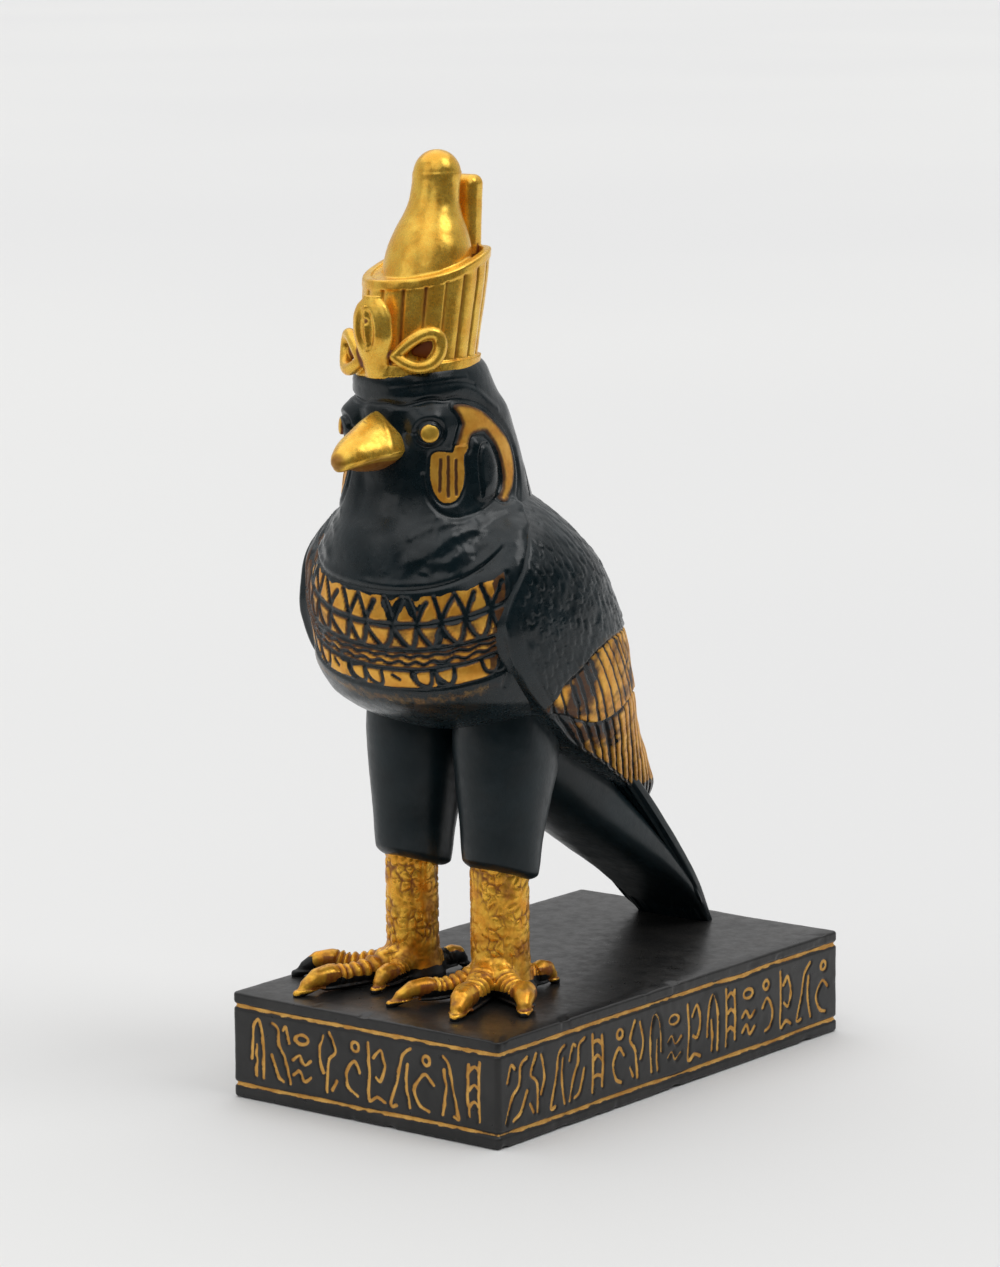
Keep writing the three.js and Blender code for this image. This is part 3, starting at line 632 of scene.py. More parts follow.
WING_ROWS = [
    [23.4, 20, 4.9, 7, 6.4, 2],
    [26.5, 13.6, 8.33, 11.5, 12.8, 2],
    [29.8, 7, 11.27, 15.5, 16.6, 2],
    [34.8, -0.5, 14.95, 20, 20, 2],
    [39.8, -6, 18.38, 22, 20.8, 2],
    [44.8, -11, 21.3, 23, 22, 2.1],
    [49.8, -14.5, 23.28, 25.4, 22.2, 2.1],
    [54.8, -17, 24.26, 26.3, 22, 2.2],
    [59.8, -19, 24.5, 26, 21.6, 2.2],
    [64.8, -20.8, 24, 24.2, 21, 2.2],
    [68.8, -22.3, 23.28, 22.6, 20, 2.2],
    [72.8, -23.7, 21.3, 20.4, 18.2, 2.1],
    [76.8, -25, 17.15, 17.4, 16.4, 2.1],
    [80, -25.4, 12.25, 13.6, 14.6, 2],
]
# Leading edge, (h, y)
WING_EDGE = [
    (23.8, 21.5), (24.3, 19.4), (25.2, 16.8), (29.2, 7.9), (34.3, -2.7), (39.9, -14.4), (45.2, -22.6),
    (48.8, -27.2), (52.6, -31), (57, -33.8), (62, -35), (66.3, -33.8), (70.3, -31.5), (74.3, -28.5),
    (79, -24), (80, -23),
]
# Lower edges of the small feathers and of the first tier of long ones, (y, h) along the surface
SMALL_EDGE = [
    (-29, 43), (-25.5, 46.5), (-24, 48.7), (-23.3, 51.2), (-20.4, 53.6), (-17.9, 55.4), (-14.6, 56.8),
    (-10.5, 57.4), (-5, 57.6), (4, 57), (14, 56),
]
TIER_EDGE = [
    (-30, 40), (-25, 44.6), (-22.7, 46), (-19.6, 45.4), (-16, 44.2), (-12, 43.2), (-8, 44), (-4, 45.6),
    (0, 46.6), (7, 45.5), (16, 43),
]
FEATHER_PITCH, FEATHER_BREADTH = 3.1, 1.4
# Widths of the grooves between long feathers, in turn
TIER_WIDTHS, LONG_WIDTHS = (1.0, 0.72, 0.85, 0.66, 1.15), (1.2, 0.7, 0.9, 0.6)


def small_feathers(y, h, grid):
    """Small overlapping feathers of the upper wing, staggered in columns."""
    warp = 0.9 * noise(grid, 5, 32)
    along, across = 0.42 * y - 0.91 * h + warp, 0.91 * y + 0.42 * h + 0.7 * warp
    column = np.floor(across / FEATHER_BREADTH)
    zero = np.zeros(column.shape, np.int64)
    stagger = 0.5 * (column % 2)
    shift = along / FEATHER_PITCH + stagger + 0.22 * lattice(column.astype(np.int64), zero, zero, 5)
    t = shift - np.floor(shift)
    s = 2 * (across / FEATHER_BREADTH - column) - 1
    tip = 0.9 - 0.4 * s * s
    shell = np.where(t < tip, 0.6 * t / tip, 0.6 - 0.9 * smooth(0, 0.1, t - tip))
    shell = shell * (0.55 + 0.55 * noise(grid, 2.6, 36))
    return 0.22 * shell - 0.06 * smooth(0.75, 1, np.abs(s)) + 0.1 * noise(grid * [1, 1, 0.5], 0.9, 33)


def long_feathers(y, h, wobble):
    """Distances to the grooves of two tiers of long feathers, fanned towards the wing tip."""
    line, long_line = np.full(y.shape, 9.0), np.full(y.shape, 9.0)
    for k in range(40):
        start = -27 + 1.9 * k + 0.25 * ((k * 37) % 5 - 2) / 2
        slope = mix(-1.3, -1.05, min(k / 25, 1))
        stroke = np.abs(y - start - (h - 52 - 0.29 * min(k, 9)) / slope - 0.16 * wobble) * 0.78
        line = np.minimum(line, stroke / TIER_WIDTHS[k % len(TIER_WIDTHS)])
    for k in range(34):
        slope = mix(-0.75, -1.5, min(k / 15, 1))
        stroke = np.abs(y - (-22 + 2.3 * k) - (h - 46) / slope - 0.2 * wobble) * 0.72
        long_line = np.minimum(long_line, stroke / LONG_WIDTHS[k % len(LONG_WIDTHS)])
    return line, long_line


def feather_relief(y, h, edge, grid):
    """Carving, gilt distance and wash of a wing, with painted shade in its grooves: y and h along the
    surface, edge from its leading edge.
    """
    wobble = noise(grid, 1.7, 31)
    above, tier = (h - np.interp(y, *spline(line).T) for line in (SMALL_EDGE, TIER_EDGE))
    border = mix(2.9, 0.5, smooth(60, 70, h))
    upper = smooth(-0.2, 0.5, above) * smooth(border, border + 1.0, edge)
    upper = upper * (1 - 0.3 * smooth(70, 76, h)) * (1 - smooth(78, 79.5, h))
    d = upper * small_feathers(y, h, grid)
    d += groove(np.abs(edge - 3.1 - 0.25 * wobble), 0.6, 0.08) * smooth(44, 47, h) * (1 - smooth(60, 68, h))
    line, long_line = long_feathers(y, h, wobble)
    first = smooth(0, 0.5, tier) * (1 - smooth(-0.4, 0.2, above))
    second = (1 - smooth(-0.5, 0.2, tier)) * smooth(0.5, 1.4, edge)
    tier_line = np.abs(tier + 0.1)
    d += groove(line, 0.34, 0.34) * first
    d += groove(long_line, 0.5, 0.42) * second
    d += groove(tier_line, 0.5, 0.3) * (above < 0)
    d += groove(np.abs(above), 0.45, 0.22)
    d += 0.22 * first + 0.28 * smooth(-0.2, 0.4, above)
    # Gilding on the long feathers, dark grooves between them, thin towards the lower front edge
    ink = np.minimum(np.where(tier > 0, line - 0.2, long_line - 0.24), tier_line - 0.22)
    margin = np.where(tier > 0, edge - 1.0, edge - 1.6 - 0.6 * wobble) + 0.4 * wobble
    patchy = noise(grid * [1, 1, 0.6], 3.3, 34) + 0.7 * noise(grid, 1.2, 35)
    patchy = patchy * mix(1, 0.5, smooth(-7, 7, y))
    fading = np.where(tier > 0, smooth(-22, -13, y), smooth(-9, -1, y + 0.25 * (46 - h)))
    grey = 0.85 * (1 - fading) - 0.15 - 0.9 * np.exp(-((y + 22.8) ** 2 + (h - 49) ** 2) / 5)
    gold = np.minimum(np.minimum(-above - 0.15 + 0.2 * wobble, ink), margin)
    gold = np.minimum(gold - 0.42 * smooth(0.1, 1.0, patchy + 1.15 * grey), h - 27.4 + 0.6 * wobble)
    # Brown in the grooves between the long feathers: painted shade. Over the lower tier it follows the
    # greying and the patches, and it is darker towards the wing's lower end.
    wash = np.clip(1.0 - np.where(tier > 0, line, long_line) / 0.8, 0, 1) * 0.85
    wash = np.maximum(wash, np.clip(0.56 + 0.75 * grey + 0.5 * patchy, 0, 1) * (above < 0))
    return d, gold, np.maximum(wash, 0.55 * (1 - smooth(28, 40, h)))


def wing_sheet():
    """Rings round one wing, outside first and then home through its inside, and the outside's chart."""
    levels = np.concatenate([mix(23.8, 26, easing(EDGE_RINGS)), np.linspace(26, 80, WING_RINGS)])
    y_lead = track(WING_EDGE, levels)[:, 0]
    y, half, front, back, power = track(WING_ROWS, levels).T
    forward = y_lead - y
    depth = np.where(forward < 0, front, back)
    lead = np.sign(forward) * np.arcsin(np.clip(np.abs(forward) / depth, 0, 1) ** (power / 2))
    grid = np.zeros((len(levels), WING_OUTER + WING_INNER, 3))
    along, edge = np.zeros((2, len(levels), WING_OUTER))
    share = np.linspace(0, 1, WING_OUTER)
    for r, level in enumerate(levels):
        angle = mix(lead[r], QUARTER, np.linspace(0, 1, 400))
        section = [y[r], half[r], front[r], back[r], power[r]]
        arc = level_grid([[level - 1, *section], [level + 1, *section]], [level], angle)[0]
        length = np.concatenate([[0], np.cumsum(np.linalg.norm(np.diff(arc, axis=0), axis=1))])
        edge[r] = length[-1] * (0.65 * share + 0.35 * share**2)
        grid[r, :WING_OUTER] = np.stack([np.interp(edge[r], length, arc[:, k]) for k in range(3)], -1)
        wraps = lead[r] < 0
        along[r] = (y[r] if wraps else y_lead[r]) + edge[r] - (np.interp(0, angle, length) if wraps else 0)
        hub = np.array([0, y_lead[r], level])
        for k in range(WING_INNER):
            t = 2 * (k + 1) / WING_INNER
            inner = mix(grid[r, WING_OUTER - 1], hub, t) if t <= 1 else mix(hub, grid[r, 0], (t - 1) * 0.92)
            grid[r, WING_OUTER + k] = inner
    return grid, along, edge


def wing(side):
    grid, along, edge = wing_sheet()
    outer = grid[:, :WING_OUTER]
    x, _, h = np.moveaxis(outer, -1, 0)
    relief, gold, wash = feather_relief(along, h, edge, outer)
    relief = relief - (1 - rounded(edge))
    relief += groove(np.abs(x), 0.8, 0.5) * (1 - smooth(52, 62, h))
    relief -= 0.9 * smooth(74, 80, h) * (1 - 0.5 * smooth(0, 6, edge))
    relief += 0.05 * noise(outer, 4, 41) + 0.015 * noise(outer, 0.8, 42)
    normal = normals_of(grid)[:, :WING_OUTER]
    normal[:, 0] = normal[:, 1] = normal[:, 2]
    normal[:, -1] = normal[:, -2] * [0, 1, 1]
    moved = outer + normal * relief[..., None]
    moved[..., 0] = np.maximum(moved[..., 0], -0.02)
    grid[:, :WING_OUTER] = moved
    grid[:, -1] = mix(grid[:, -1], grid[:, 0], 0.5)
    inner = np.zeros((len(grid), WING_INNER))
    gold, wash = np.concatenate([gold, inner - 2], axis=1), np.concatenate([wash, inner], axis=1)
    if side < 0:
        grid, gold, wash = grid[:, ::-1] * [-1, 1, 1], gold[:, ::-1], wash[:, ::-1]
    faint = np.clip(0.55 - 0.12 * np.abs(gold), 0, 1) * (grid[..., 2] < 58) * (gold > -4.5)
    name = "wing_left" if side > 0 else "wing_right"
    return ring_mesh(name, grid, gilt=np.clip(gold, -2, 2), wash=wash, faint=faint)


# Beak and eyes

BEAK_ROWS = [
    [0, 0, -34, 88.2, 5.0, 6.2, 3.4, 1.36],
    [0.4, 0, -40.4, 88, 5.0, 5.7, 3.2, 1.4],
    [0.65, 0, -44.6, 87.7, 4.1, 3.8, 2.6, 1.6],
    [0.86, 0, -48, 87, 2.5, 2.1, 1.4, 1.85],
    [1, 0, -49.9, 86, 0.9, 0.75, 0.8, 2],
]
# Share of the beak's length over which its tip is rounded
BEAK_END = 0.05
# Mouth line, (distance behind the tip, h)
GAPE = [(0.4, 85.5), (2, 86.1), (4, 87), (6.5, 87.3), (9, 87.2), (13, 87.4)]
# Rings of the domed eye: share of its radius, height and wash; the wash is full on the rings sunk in the
# groove, a painted shade, and lighter on the disc, its own duller tone
EYE_RINGS = [
    (0.9, -0.8, 1), (1, -0.5, 1), (1, 0.05, 0.9), (0.985, 0.16, 0.6), (0.93, 0.26, 0.45), (0.8, 0.36, 0.4),
    (0.55, 0.46, 0.4), (0.25, 0.51, 0.4), (0.05, 0.52, 0.4),
]


def beak():
    shares = 1 - np.cos(np.linspace(0, QUARTER, BEAK_RINGS)) ** 1.25
    shares = np.sort(np.clip(shares, 0, 1))
    grid = path_grid(BEAK_ROWS, shares, turns(BEAK_ROUND), [-1, 0, 0])
    shrink = np.maximum(rounded((1 - shares) / BEAK_END), 0.01)
    centre = grid.mean(axis=1, keepdims=True)
    grid = centre + (grid - centre) * shrink[:, None, None]
    y, h = grid[..., 1], grid[..., 2]
    gape = spline(GAPE)
    mouth = line_distance(np.abs(y + 50), h, gape)
    under = smooth(0, 0.6, np.interp(y + 50, gape[:, 0], gape[:, 1]) - h)
    cere = np.abs(y + 42.3 - 0.35 * (h - 88))
    d = groove(mouth, 0.45, 0.16) - 0.15 * under * smooth(2, 5, y + 50)
    d += groove(cere, 0.4, 0.1) * (h > 87.6)
    grid = carved(grid, d + 0.03 * noise(grid, 1.1, 51))
    specks = noise(grid, 0.7, 52)
    # Darker in the mouth line, the cere groove and over the underside: painted shade. The specks near the top
    # and the dark tip are the beak's own colour.
    wash = np.maximum.reduce([
        0.6 * (1 - smooth(0.1, 0.6, mouth)), 0.8 * under,
        0.7 * smooth(0.35, 0.6, specks) * smooth(91.6, 92.6, h) * (y > -45),
        0.35 * (1 - smooth(0, 0.5, cere)), 0.7 * (1 - smooth(-49.9, -48.6, y)),
    ])
    return ring_mesh("beak", grid, wash=wash)


def eye(side, middle, facing):
    """Domed disc in its ring groove."""
    facing = unit(facing)
    across = unit(np.cross([0, 0, 1], facing))
    up = np.cross(facing, across)
    angles = turns(EYE_ROUND)
    circle = np.cos(angles)[:, None] * across + np.sin(angles)[:, None] * up
    rings = [EYE_RADIUS * radius * circle + height * facing + middle for radius, height, _ in EYE_RINGS]
    grid = np.array(rings)
    wash = np.array([stain for _, _, stain in EYE_RINGS])[:, None] * np.ones(grid.shape[:2])
    return ring_mesh("eye_left" if side > 0 else "eye_right", grid, wash=wash)


# Crown: v is the distance behind its leaning middle line

CUP_BASE, CUP_HALF, CUP_DEEP, CUP_WALL = 98, 9.1, 10.2, 1.2
# Degrees between the grooves of the cup's wall
PANEL = 20
# Rows: [h, half, deep]
BULB_ROWS = [
    [100, 6.8, 6.8], [104, 6.85, 6.8], [111, 6.95, 7.0], [114.5, 6.85, 6.9], [117.8, 6.45, 6.55],
    [120.5, 5.6, 5.65], [123.2, 4.4, 4.45], [125.2, 3.85, 3.9], [127.4, 3.72, 3.75], [131, 3.66, 3.66],
]
# Rows: [h, y, half, deep]
HOOD_ROWS = [
    [99, -39.6, 2.1, 1.4], [101, -40.2, 2.3, 1.45], [103.5, -40.9, 3.1, 1.5], [105.8, -41.3, 3.7, 1.6],
    [108, -41.4, 3.6, 1.6], [110, -41.4, 2.9, 1.4], [111.3, -41.3, 1.6, 1],
]
KNOB_LEVEL, KNOB_RADIUS = 129.1, 3.7
SPIKE_HALF = np.array([3.5, 1.8, 14.3])
SPIKE_MIDDLE, SPIKE_ROUND = 114.3, 1.5


def crown_axis(h):
    return -30.4 + 0.16 * (h - CUP_BASE)


def cup_rim(x, v):
    t = np.clip((v + 10.4) / 18.7, 0, 1)
    return 113.7 + 3.8 * t * t * (3 - 2 * t) + 0.05 * x


def panel_groove(x, v):
    """Distance round the cup's wall to the nearest panel groove."""
    angle = np.degrees(np.arctan2(x, -v))
    return np.abs((angle + PANEL / 2) % PANEL - PANEL / 2) * math.pi / 180 * 9.8


def loop_line(side):
    """Closed chain of one of the two loops in front of the cup."""
    made = []
    for t in np.linspace(0, TURN, 27):
        far = 0.5 - 0.5 * np.cos(t)
        angle = (0.38 + 0.66 * far) if side > 0 else (0.26 + 0.62 * far)
        flare = 1 + 0.07 * far * (side < 0)
        h = 102 + 0.45 * side + 1.3 * far + 3.3 * math.sin(t) * abs(math.sin(t / 2))
        x, y = side * 10 * flare * math.sin(angle), crown_axis(h) - 11.1 * flare * math.cos(angle)
        made.append([x, y, h, 0.92 + 0.12 * far])
    return np.array(made)


LOOPS = [loop_line(-1), loop_line(1)]


def loop_back(points, line):
    """Thin plate closing a loop from behind."""
    near, far = (mix(line[0, :3], line[13, :3], share) for share in (0.45, 0.74))
    along = far - near
    reach = np.linalg.norm(along)
    out = np.cross(along / reach, [0, 0, 1])
    out *= np.sign(-out[1]) / np.linalg.norm(out)
    local = points - near
    flat = local + np.outer(2.5 * (local @ out + 0.3), out)
    t = np.clip(flat @ (along / reach) / reach, 0, 1)
    return (np.linalg.norm(flat - np.outer(t, along), axis=1) - mix(0.7, 1.6, t)) * 0.5


def hood_marks(x, h):
    """Distances to the edge of the oval on the hood's front and to the middle of the dent in it."""
    return ellipse(x, (h - 106.6) * 0.62, 1.75, 2.0), np.hypot(x, h - 107.8)


def cup_field(x, v, h):
    share = mix(0.925, 1, np.clip((h - CUP_BASE) / 15, 0, 1))
    rim = cup_rim(x, v)
    off = panel_groove(x, v)
    lip = smooth(-1.75, -1.35, h - rim)
    foot = 1 - smooth(98.6, 99.6, h)
    turned = np.degrees(np.arctan2(x, -v)) / PANEL
    panel = np.round(turned)
    lean = np.sin(panel * 2.4 + 0.8) * 0.1 * (turned - panel)
    panels = 0.36 * np.exp(-((off / 0.22) ** 2)) - 0.1 * smooth(0, 1.7, off) + lean
    wall = ellipse(x, v, CUP_HALF * share, CUP_DEEP * share)
    wall = wall + panels * (1 - lip) * (1 - 0.7 * foot) - 0.22 * lip - 0.2 * foot
    body = np.maximum(np.maximum(wall, h - rim), 97.4 - h)
    edge = np.hypot(np.maximum(wall + 0.4, 0), np.maximum(h - rim + 0.4, 0)) - 0.4
    body = np.where((wall > -0.4) & (h - rim > -0.4), edge, body)
    floor = rim - 0.3 - 2.2 * smooth(1, 8, v)
    hollow = ellipse(x, v, CUP_HALF * share - CUP_WALL, CUP_DEEP * share - CUP_WALL)
    return np.maximum(body, -np.maximum(hollow, floor - h))


def crown_parts(points):
    x, y, h = points.T
    v = y - crown_axis(h)
    cup = cup_field(x, v, h)
    half, deep = track(BULB_ROWS, h).T
    bulb = np.maximum(ellipse(x, v - 0.028 * np.clip(h - 110, 0, 25), half, deep) * 0.93, h - 129.2)
    knob = np.linalg.norm(points - [0, crown_axis(KNOB_LEVEL) + 0.54, KNOB_LEVEL], axis=1) - KNOB_RADIUS
    bulb = soft_min(np.maximum(bulb, 99 - h), knob, 0.35)
    spike_y = mix(-20.3, -18.8, (h - 104) / 24)
    q = np.abs(np.stack([x, y - spike_y, h - SPIKE_MIDDLE], -1)) - SPIKE_HALF + SPIKE_ROUND
    spike = np.linalg.norm(np.maximum(q, 0), axis=1) + np.minimum(q.max(1), 0) - SPIKE_ROUND
    hood_y, wide, thick = track(HOOD_ROWS, h).T
    hood = ellipse(x - 0.45 * smooth(101, 106, h), y - hood_y, wide, thick)
    hood = np.maximum(np.maximum(hood * 0.85, h - 111.6), 98.9 - h)
    ahead = y < hood_y
    oval, dent = hood_marks(x, h)
    spine = 0.42 * np.exp(-((x / 0.45) ** 2)) * (oval < 0.2) * ahead
    hood = hood + 0.5 * (1 - smooth(-0.5, 0.35, oval)) * ahead - spine
    hood = hood + 0.3 * (1 - smooth(0.2, 0.75, dent)) * ahead
    loops = np.full(len(points), 4.0)
    near = (h < 109) & (y < -26)
    for line in LOOPS:
        loops[near] = np.minimum(loops[near], chain_distance(points[near], line)[0])
        loops[near] = np.minimum(loops[near], loop_back(points[near], line))
    band = np.maximum(ellipse(x, v, 9.15, 10.35), np.abs(h - 0.04 * (0.78 * x + 0.62 * v) - 100.2) - 0.9)
    return cup, bulb, spike, hood, loops, band


def crown_field(points):
    cup, bulb, spike, hood, loops, band = crown_parts(points)
    body = soft_min(cup, np.minimum(bulb, spike), 0.25)
    front = soft_min(hood, loops, 0.5)
    body = soft_min(body, band, 0.4)
    rough = 0.03 * noise(points, 1.3, 61) + 0.05 * noise(points, 3.2, 62)
    return soft_min(body, front, 0.3) - rough * 0.8


def crown_wash(points):
    cup, bulb, spike, hood, loops, _ = crown_parts(points)
    x, y, h = points.T
    v = y - crown_axis(h)
    # Painted shade in the panel grooves, in patches
    on_wall = (np.abs(cup) < 0.45) & (h < cup_rim(x, v) - 1.5)
    patchy = 0.75 + 0.45 * noise(points * [1, 1, 0.35], 2.6, 63)
    wash = np.where(on_wall, patchy * np.exp(-((panel_groove(x, v) / 0.5) ** 2)), 0)
    # Painted shade where two parts of the crown meet
    parts = np.stack([cup, np.where(v < 4, 9, bulb), np.where(v > 8, 9, spike), hood, loops], -1)
    wash = np.maximum(wash, 0.95 * (1 - smooth(0.15, 0.8, np.sort(parts, axis=1)[:, 1])))
    # Painted shade in the oval's edge and the dent on the hood
    oval, dent = hood_marks(x, h)
    wash = np.maximum(wash, 0.75 * (1 - smooth(-0.2, 0.3, np.abs(oval))) * (hood < 0.3) * (y < -41))
    wash = np.maximum(wash, 0.8 * (1 - smooth(0.2, 0.7, dent)) * (hood < 0.4))
    # Painted shade on the cup's inner wall behind the bulb
    inside = (cup > -0.4) & (ellipse(x, v, 8.1, 9.2) < 0.1) & (h < cup_rim(x, v) - 1.2)
    wash = np.where(inside & (bulb > 0.2) & (h > 108) & (v > 2), 0.85, wash)
    # Painted shade on the plate inside each loop
    for line in LOOPS:
        near = np.linalg.norm(points - line[:, :3].mean(0), axis=1) < 4.5
        strand, plate = np.full(len(points), -1.0), np.full(len(points), 9.0)
        strand[near] = chain_distance(points[near], line)[0]
        plate[near] = loop_back(points[near], line)
        wash = np.maximum(wash, 1.1 * smooth(0.05, 0.3, strand) * (1 - smooth(0.1, 0.3, plate)))
    return wash


def crown():
    low, high = (-12.4, -44, 96.8), (12.4, -15.8, 133.6)
    return field_mesh("double_crown", crown_field, low, high, CROWN_STEP, wash=crown_wash)


# Legs

TROUSER_LOW = 19.4
TROUSER_ROWS = [
    [TROUSER_LOW, -21.9, 5.4, 5.2, 5.2, 2],
    [20.6, -21.9, 6, 5.9, 6, 2],
    [26, -21.8, 6.47, 6.3, 7, 2],
    [34, -21.6, 7.24, 7, 9.4, 2],
    [40, -21.4, 7.7, 7.4, 11, 2],
    [50, -21, 6.93, 7, 11, 2],
]
TROUSER_SPREAD = 8.8


def trouser(side):
    hem = TROUSER_LOW + 1.5 * easing(TROUSER_HEM_RINGS)
    levels = np.concatenate([hem, np.linspace(20.9, 50, TROUSER_RINGS)])
    grid = level_grid(TROUSER_ROWS, levels, turns(TROUSER_ROUND))
    shrink = 0.78 + 0.22 * rounded((levels - TROUSER_LOW) / 1.1)
    centre = grid.mean(axis=1, keepdims=True)
    grid[..., :2] = (centre + (grid - centre) * shrink[:, None, None])[..., :2]
    grid[..., 2] -= 0.34 * (grid[..., 1] + 21.8)
    grid = carved(grid, 0.09 * noise(grid, 5, 71 + side) + 0.012 * noise(grid, 0.9, 72))
    name = "trouser_left" if side > 0 else "trouser_right"
    return ring_mesh(name, grid + [side * TROUSER_SPREAD, 0, 0])


# Shank: x, y, half, deep. Toes: root, knuckle and claw tip in plan, and size. Dark: middle and reach of spots
# without gilding. Box: corners of the space that the foot's surface is looked for in.
FOOT = {
    -1: {
        "shank": (-9.8, -21.1, 4.0, 4.5),
        "toes": [
            ((-11.4, -24.2), (-20.6, -27.8), (-25.4, -32.3), 1.0),
            ((-10.6, -25), (-14, -36.2), (-16.1, -42.6), 1.1),
            ((-8.6, -24.8), (-7.6, -29.6), (-7.4, -33.8), 0.95),
            ((-9.2, -19), (-7.6, -14.2), (-6.8, -10.8), 0.9),
        ],
        "dark": [((-24.6, -31.4), 3.2), ((-7.2, -12.6), 5)],
        "box": ((-28.2, -44.6, -0.7), (-4.2, -8, 23.4)),
    },
    1: {
        "shank": (7.95, -21.0, 4.75, 4.6),
        "toes": [
            ((6.4, -24.6), (3.4, -33.2), (-0.3, -38.9), 0.95),
            ((8.4, -25.2), (11.6, -34.2), (13.7, -39.8), 1.3),
            ((10.4, -24.2), (17.8, -27.4), (21, -31.6), 1.2),
            ((8.8, -19), (10.8, -14.4), (11.2, -10.8), 1.0),
        ],
        "dark": [],
        "box": ((-2.4, -42.4, -0.7), (23.8, -8, 23.4)),
    },
}
# Share of the way from root to knuckle, or from knuckle to tip, with height and radius
TOE = [(0, 3.5, 2.1), (0.4, 2.5, 1.6), (0.75, 2.2, 1.4), (1, 2.55, 1.6), (1.14, 2.5, 1.5)]
CLAW = [(1.06, 2.75, 1.55), (1.4, 2.6, 1.35), (1.7, 1.6, 0.95), (1.94, 0.35, 0.35)]


def toe_chain(spec, rows):
    """Chain of a toe or its claw: (x, y, h, radius). Shares past 1 run on from the knuckle to the tip."""
    root, knuckle, tip = (np.array(place) for place in spec[:3])
    made = []
    for share, h, radius in rows:
        place = mix(root, knuckle, share) if share < 1 else mix(knuckle, tip, round(share - 1, 2))
        made.append((*place, h, radius * spec[3]))
    return np.array(made)


def folded(ring):
    """Share of the full depth of a toe's skin folds, along its chain."""
    return smooth(0.3, 0.7, ring) * (1 - smooth(2.8, 3.1, ring))


def scales(points):
    """Scales of the shank: height between cracks, and distance to each scale's middle."""
    bent = points + 0.35 * noise(points, 1.6, 87)[:, None]
    first, second = pebbles(bent * [1, 1, 0.9], 1.5, 81)
    patchy = 0.35 + 0.65 * smooth(-0.4, 0.3, noise(points, 2.6, 85))
    return 1 - patchy * (1 - smooth(0, 0.34, second - first)), first


def foot(side):
    spec = FOOT[side]
    sx, sy, half, deep = spec["shank"]
    chains = [(toe_chain(toe, TOE), toe_chain(toe, CLAW)) for toe in spec["toes"]]

    def parts(points):
        x, y, h = points.T
        grow = 0.9 * np.clip((5 - h) / 4, 0, 1) ** 2
        shank = ellipse(x - sx, y - sy - 0.5 + 0.5 * smooth(2, 8, h), half * 0.97 + grow, deep * 0.97 + grow)
        shank = np.maximum(np.maximum(shank, h - 23), -0.6 - h)
        toe, claw = np.full(len(points), 1e3), np.full(len(points), 1e3)
        ring = np.zeros(len(points))
        for toe_line, claw_line in chains:
            d, where = chain_distance(points, toe_line)
            ring = np.where(d < toe, where, ring)
            toe = np.minimum(toe, d)
            claw = np.minimum(claw, chain_distance(points, claw_line)[0])
        return shank, toe, claw, ring

    def field(points):
        shank, toe, claw, ring = parts(points)
        h = points[:, 2]
        folds = 0.27 * np.cos(TURN * ring * 2.4) * folded(ring) * smooth(1.0, 2.2, h)
        crack, first = scales(points)
        limb = soft_min(shank - (0.2 * crack - 0.1 * first) * smooth(2.5, 5, h), toe - folds, 1.1)
        limb = soft_min(limb, claw, 0.2)
        web = np.maximum(np.minimum(toe, claw + 0.2) - 0.6, h - 0.9)
        return np.maximum(soft_min(limb, web, 0.6) + 0.03 * noise(points, 1.1, 83), -0.55 - h)

    def gilt(points):
        _, toe, claw, _ = parts(points)
        x, y, h = points.T
        dull = 0.0
        for (dark_x, dark_y), reach in spec["dark"]:
            dull = np.maximum(dull, 2.6 * (1 - smooth(0.6, 1, np.hypot(x - dark_x, y - dark_y) / reach)))
        bare = np.where(claw < toe + 0.1, 0.6, 2.2)
        return np.clip(h - bare - 0.4 * noise(points, 1.2, 84) - dull, -2, 2)

    def wash(points):
        shank, toe, claw, ring = parts(points)
        h = points[:, 2]
        # Brown in the cracks between scales and at the joints of toe and claw, and in the folds' valleys with
        # their tops left light: painted shade and painted highlight. The stains and the claws' brown are
        # their own colour; darker low on the ankle and on the claws near the plinth.
        cracks = 0.8 * smooth(2.5, 5, h) * (1 - scales(points)[0])
        folds = 0.85 * (0.55 - 0.45 * np.cos(TURN * ring * 2.4)) * folded(ring) * (toe < claw)
        joint = 0.8 * (1 - smooth(0.1, 0.6, np.abs(np.minimum(toe, shank) - claw))) * (h < 3.4)
        stain = (0.14 + 0.5 * smooth(-0.2, 0.8, noise(points, 2.4, 86))) * (claw > 0.3)
        ankle = 0.45 * smooth(1.5, 3, h) * (1 - smooth(5, 9, h)) * (shank < 0.6)
        nail = (0.46 + 0.3 * noise(points, 1.3, 88) + 0.5 * (1 - smooth(0.6, 1.6, h))) * (claw < 0.3)
        return np.clip(np.maximum.reduce([cracks, folds, joint, stain, ankle, nail]), 0, 1)

    def plain(points):
        return np.zeros(len(points))

    name = "foot_left" if side > 0 else "foot_right"
    return field_mesh(name, field, *spec["box"], FOOT_STEP, gilt=gilt, wash=wash, faint=plain)


# Tail

TAIL_ROWS = [
    [0, 0, -4, 44, 11.2, 1.3, 1.3, 4],
    [0.35, -1, 14, 27, 11.2, 1.3, 1.3, 4],
    [0.7, -1.7, 29, 11.5, 10.1, 1.3, 1.3, 4],
    [1, -1.8, 40, -1, 7, 1.17, 1.17, 4],
]
TAIL_ROOT_ROWS = [
    [0, 0, -8, 38, 9.6, 8, 7, 2.4],
    [0.4, 0, 7, 25, 9.4, 6, 4.6, 2.6],
    [0.62, -0.4, 17.8, 17.8, 9.4, 3.5, 3.9, 3],
    [0.83, -1.1, 28.9, 9.3, 9, 1.7, 1.9, 3],
    [1, -1.6, 38.4, 0.9, 7.1, 0.5, 0.7, 3],
]


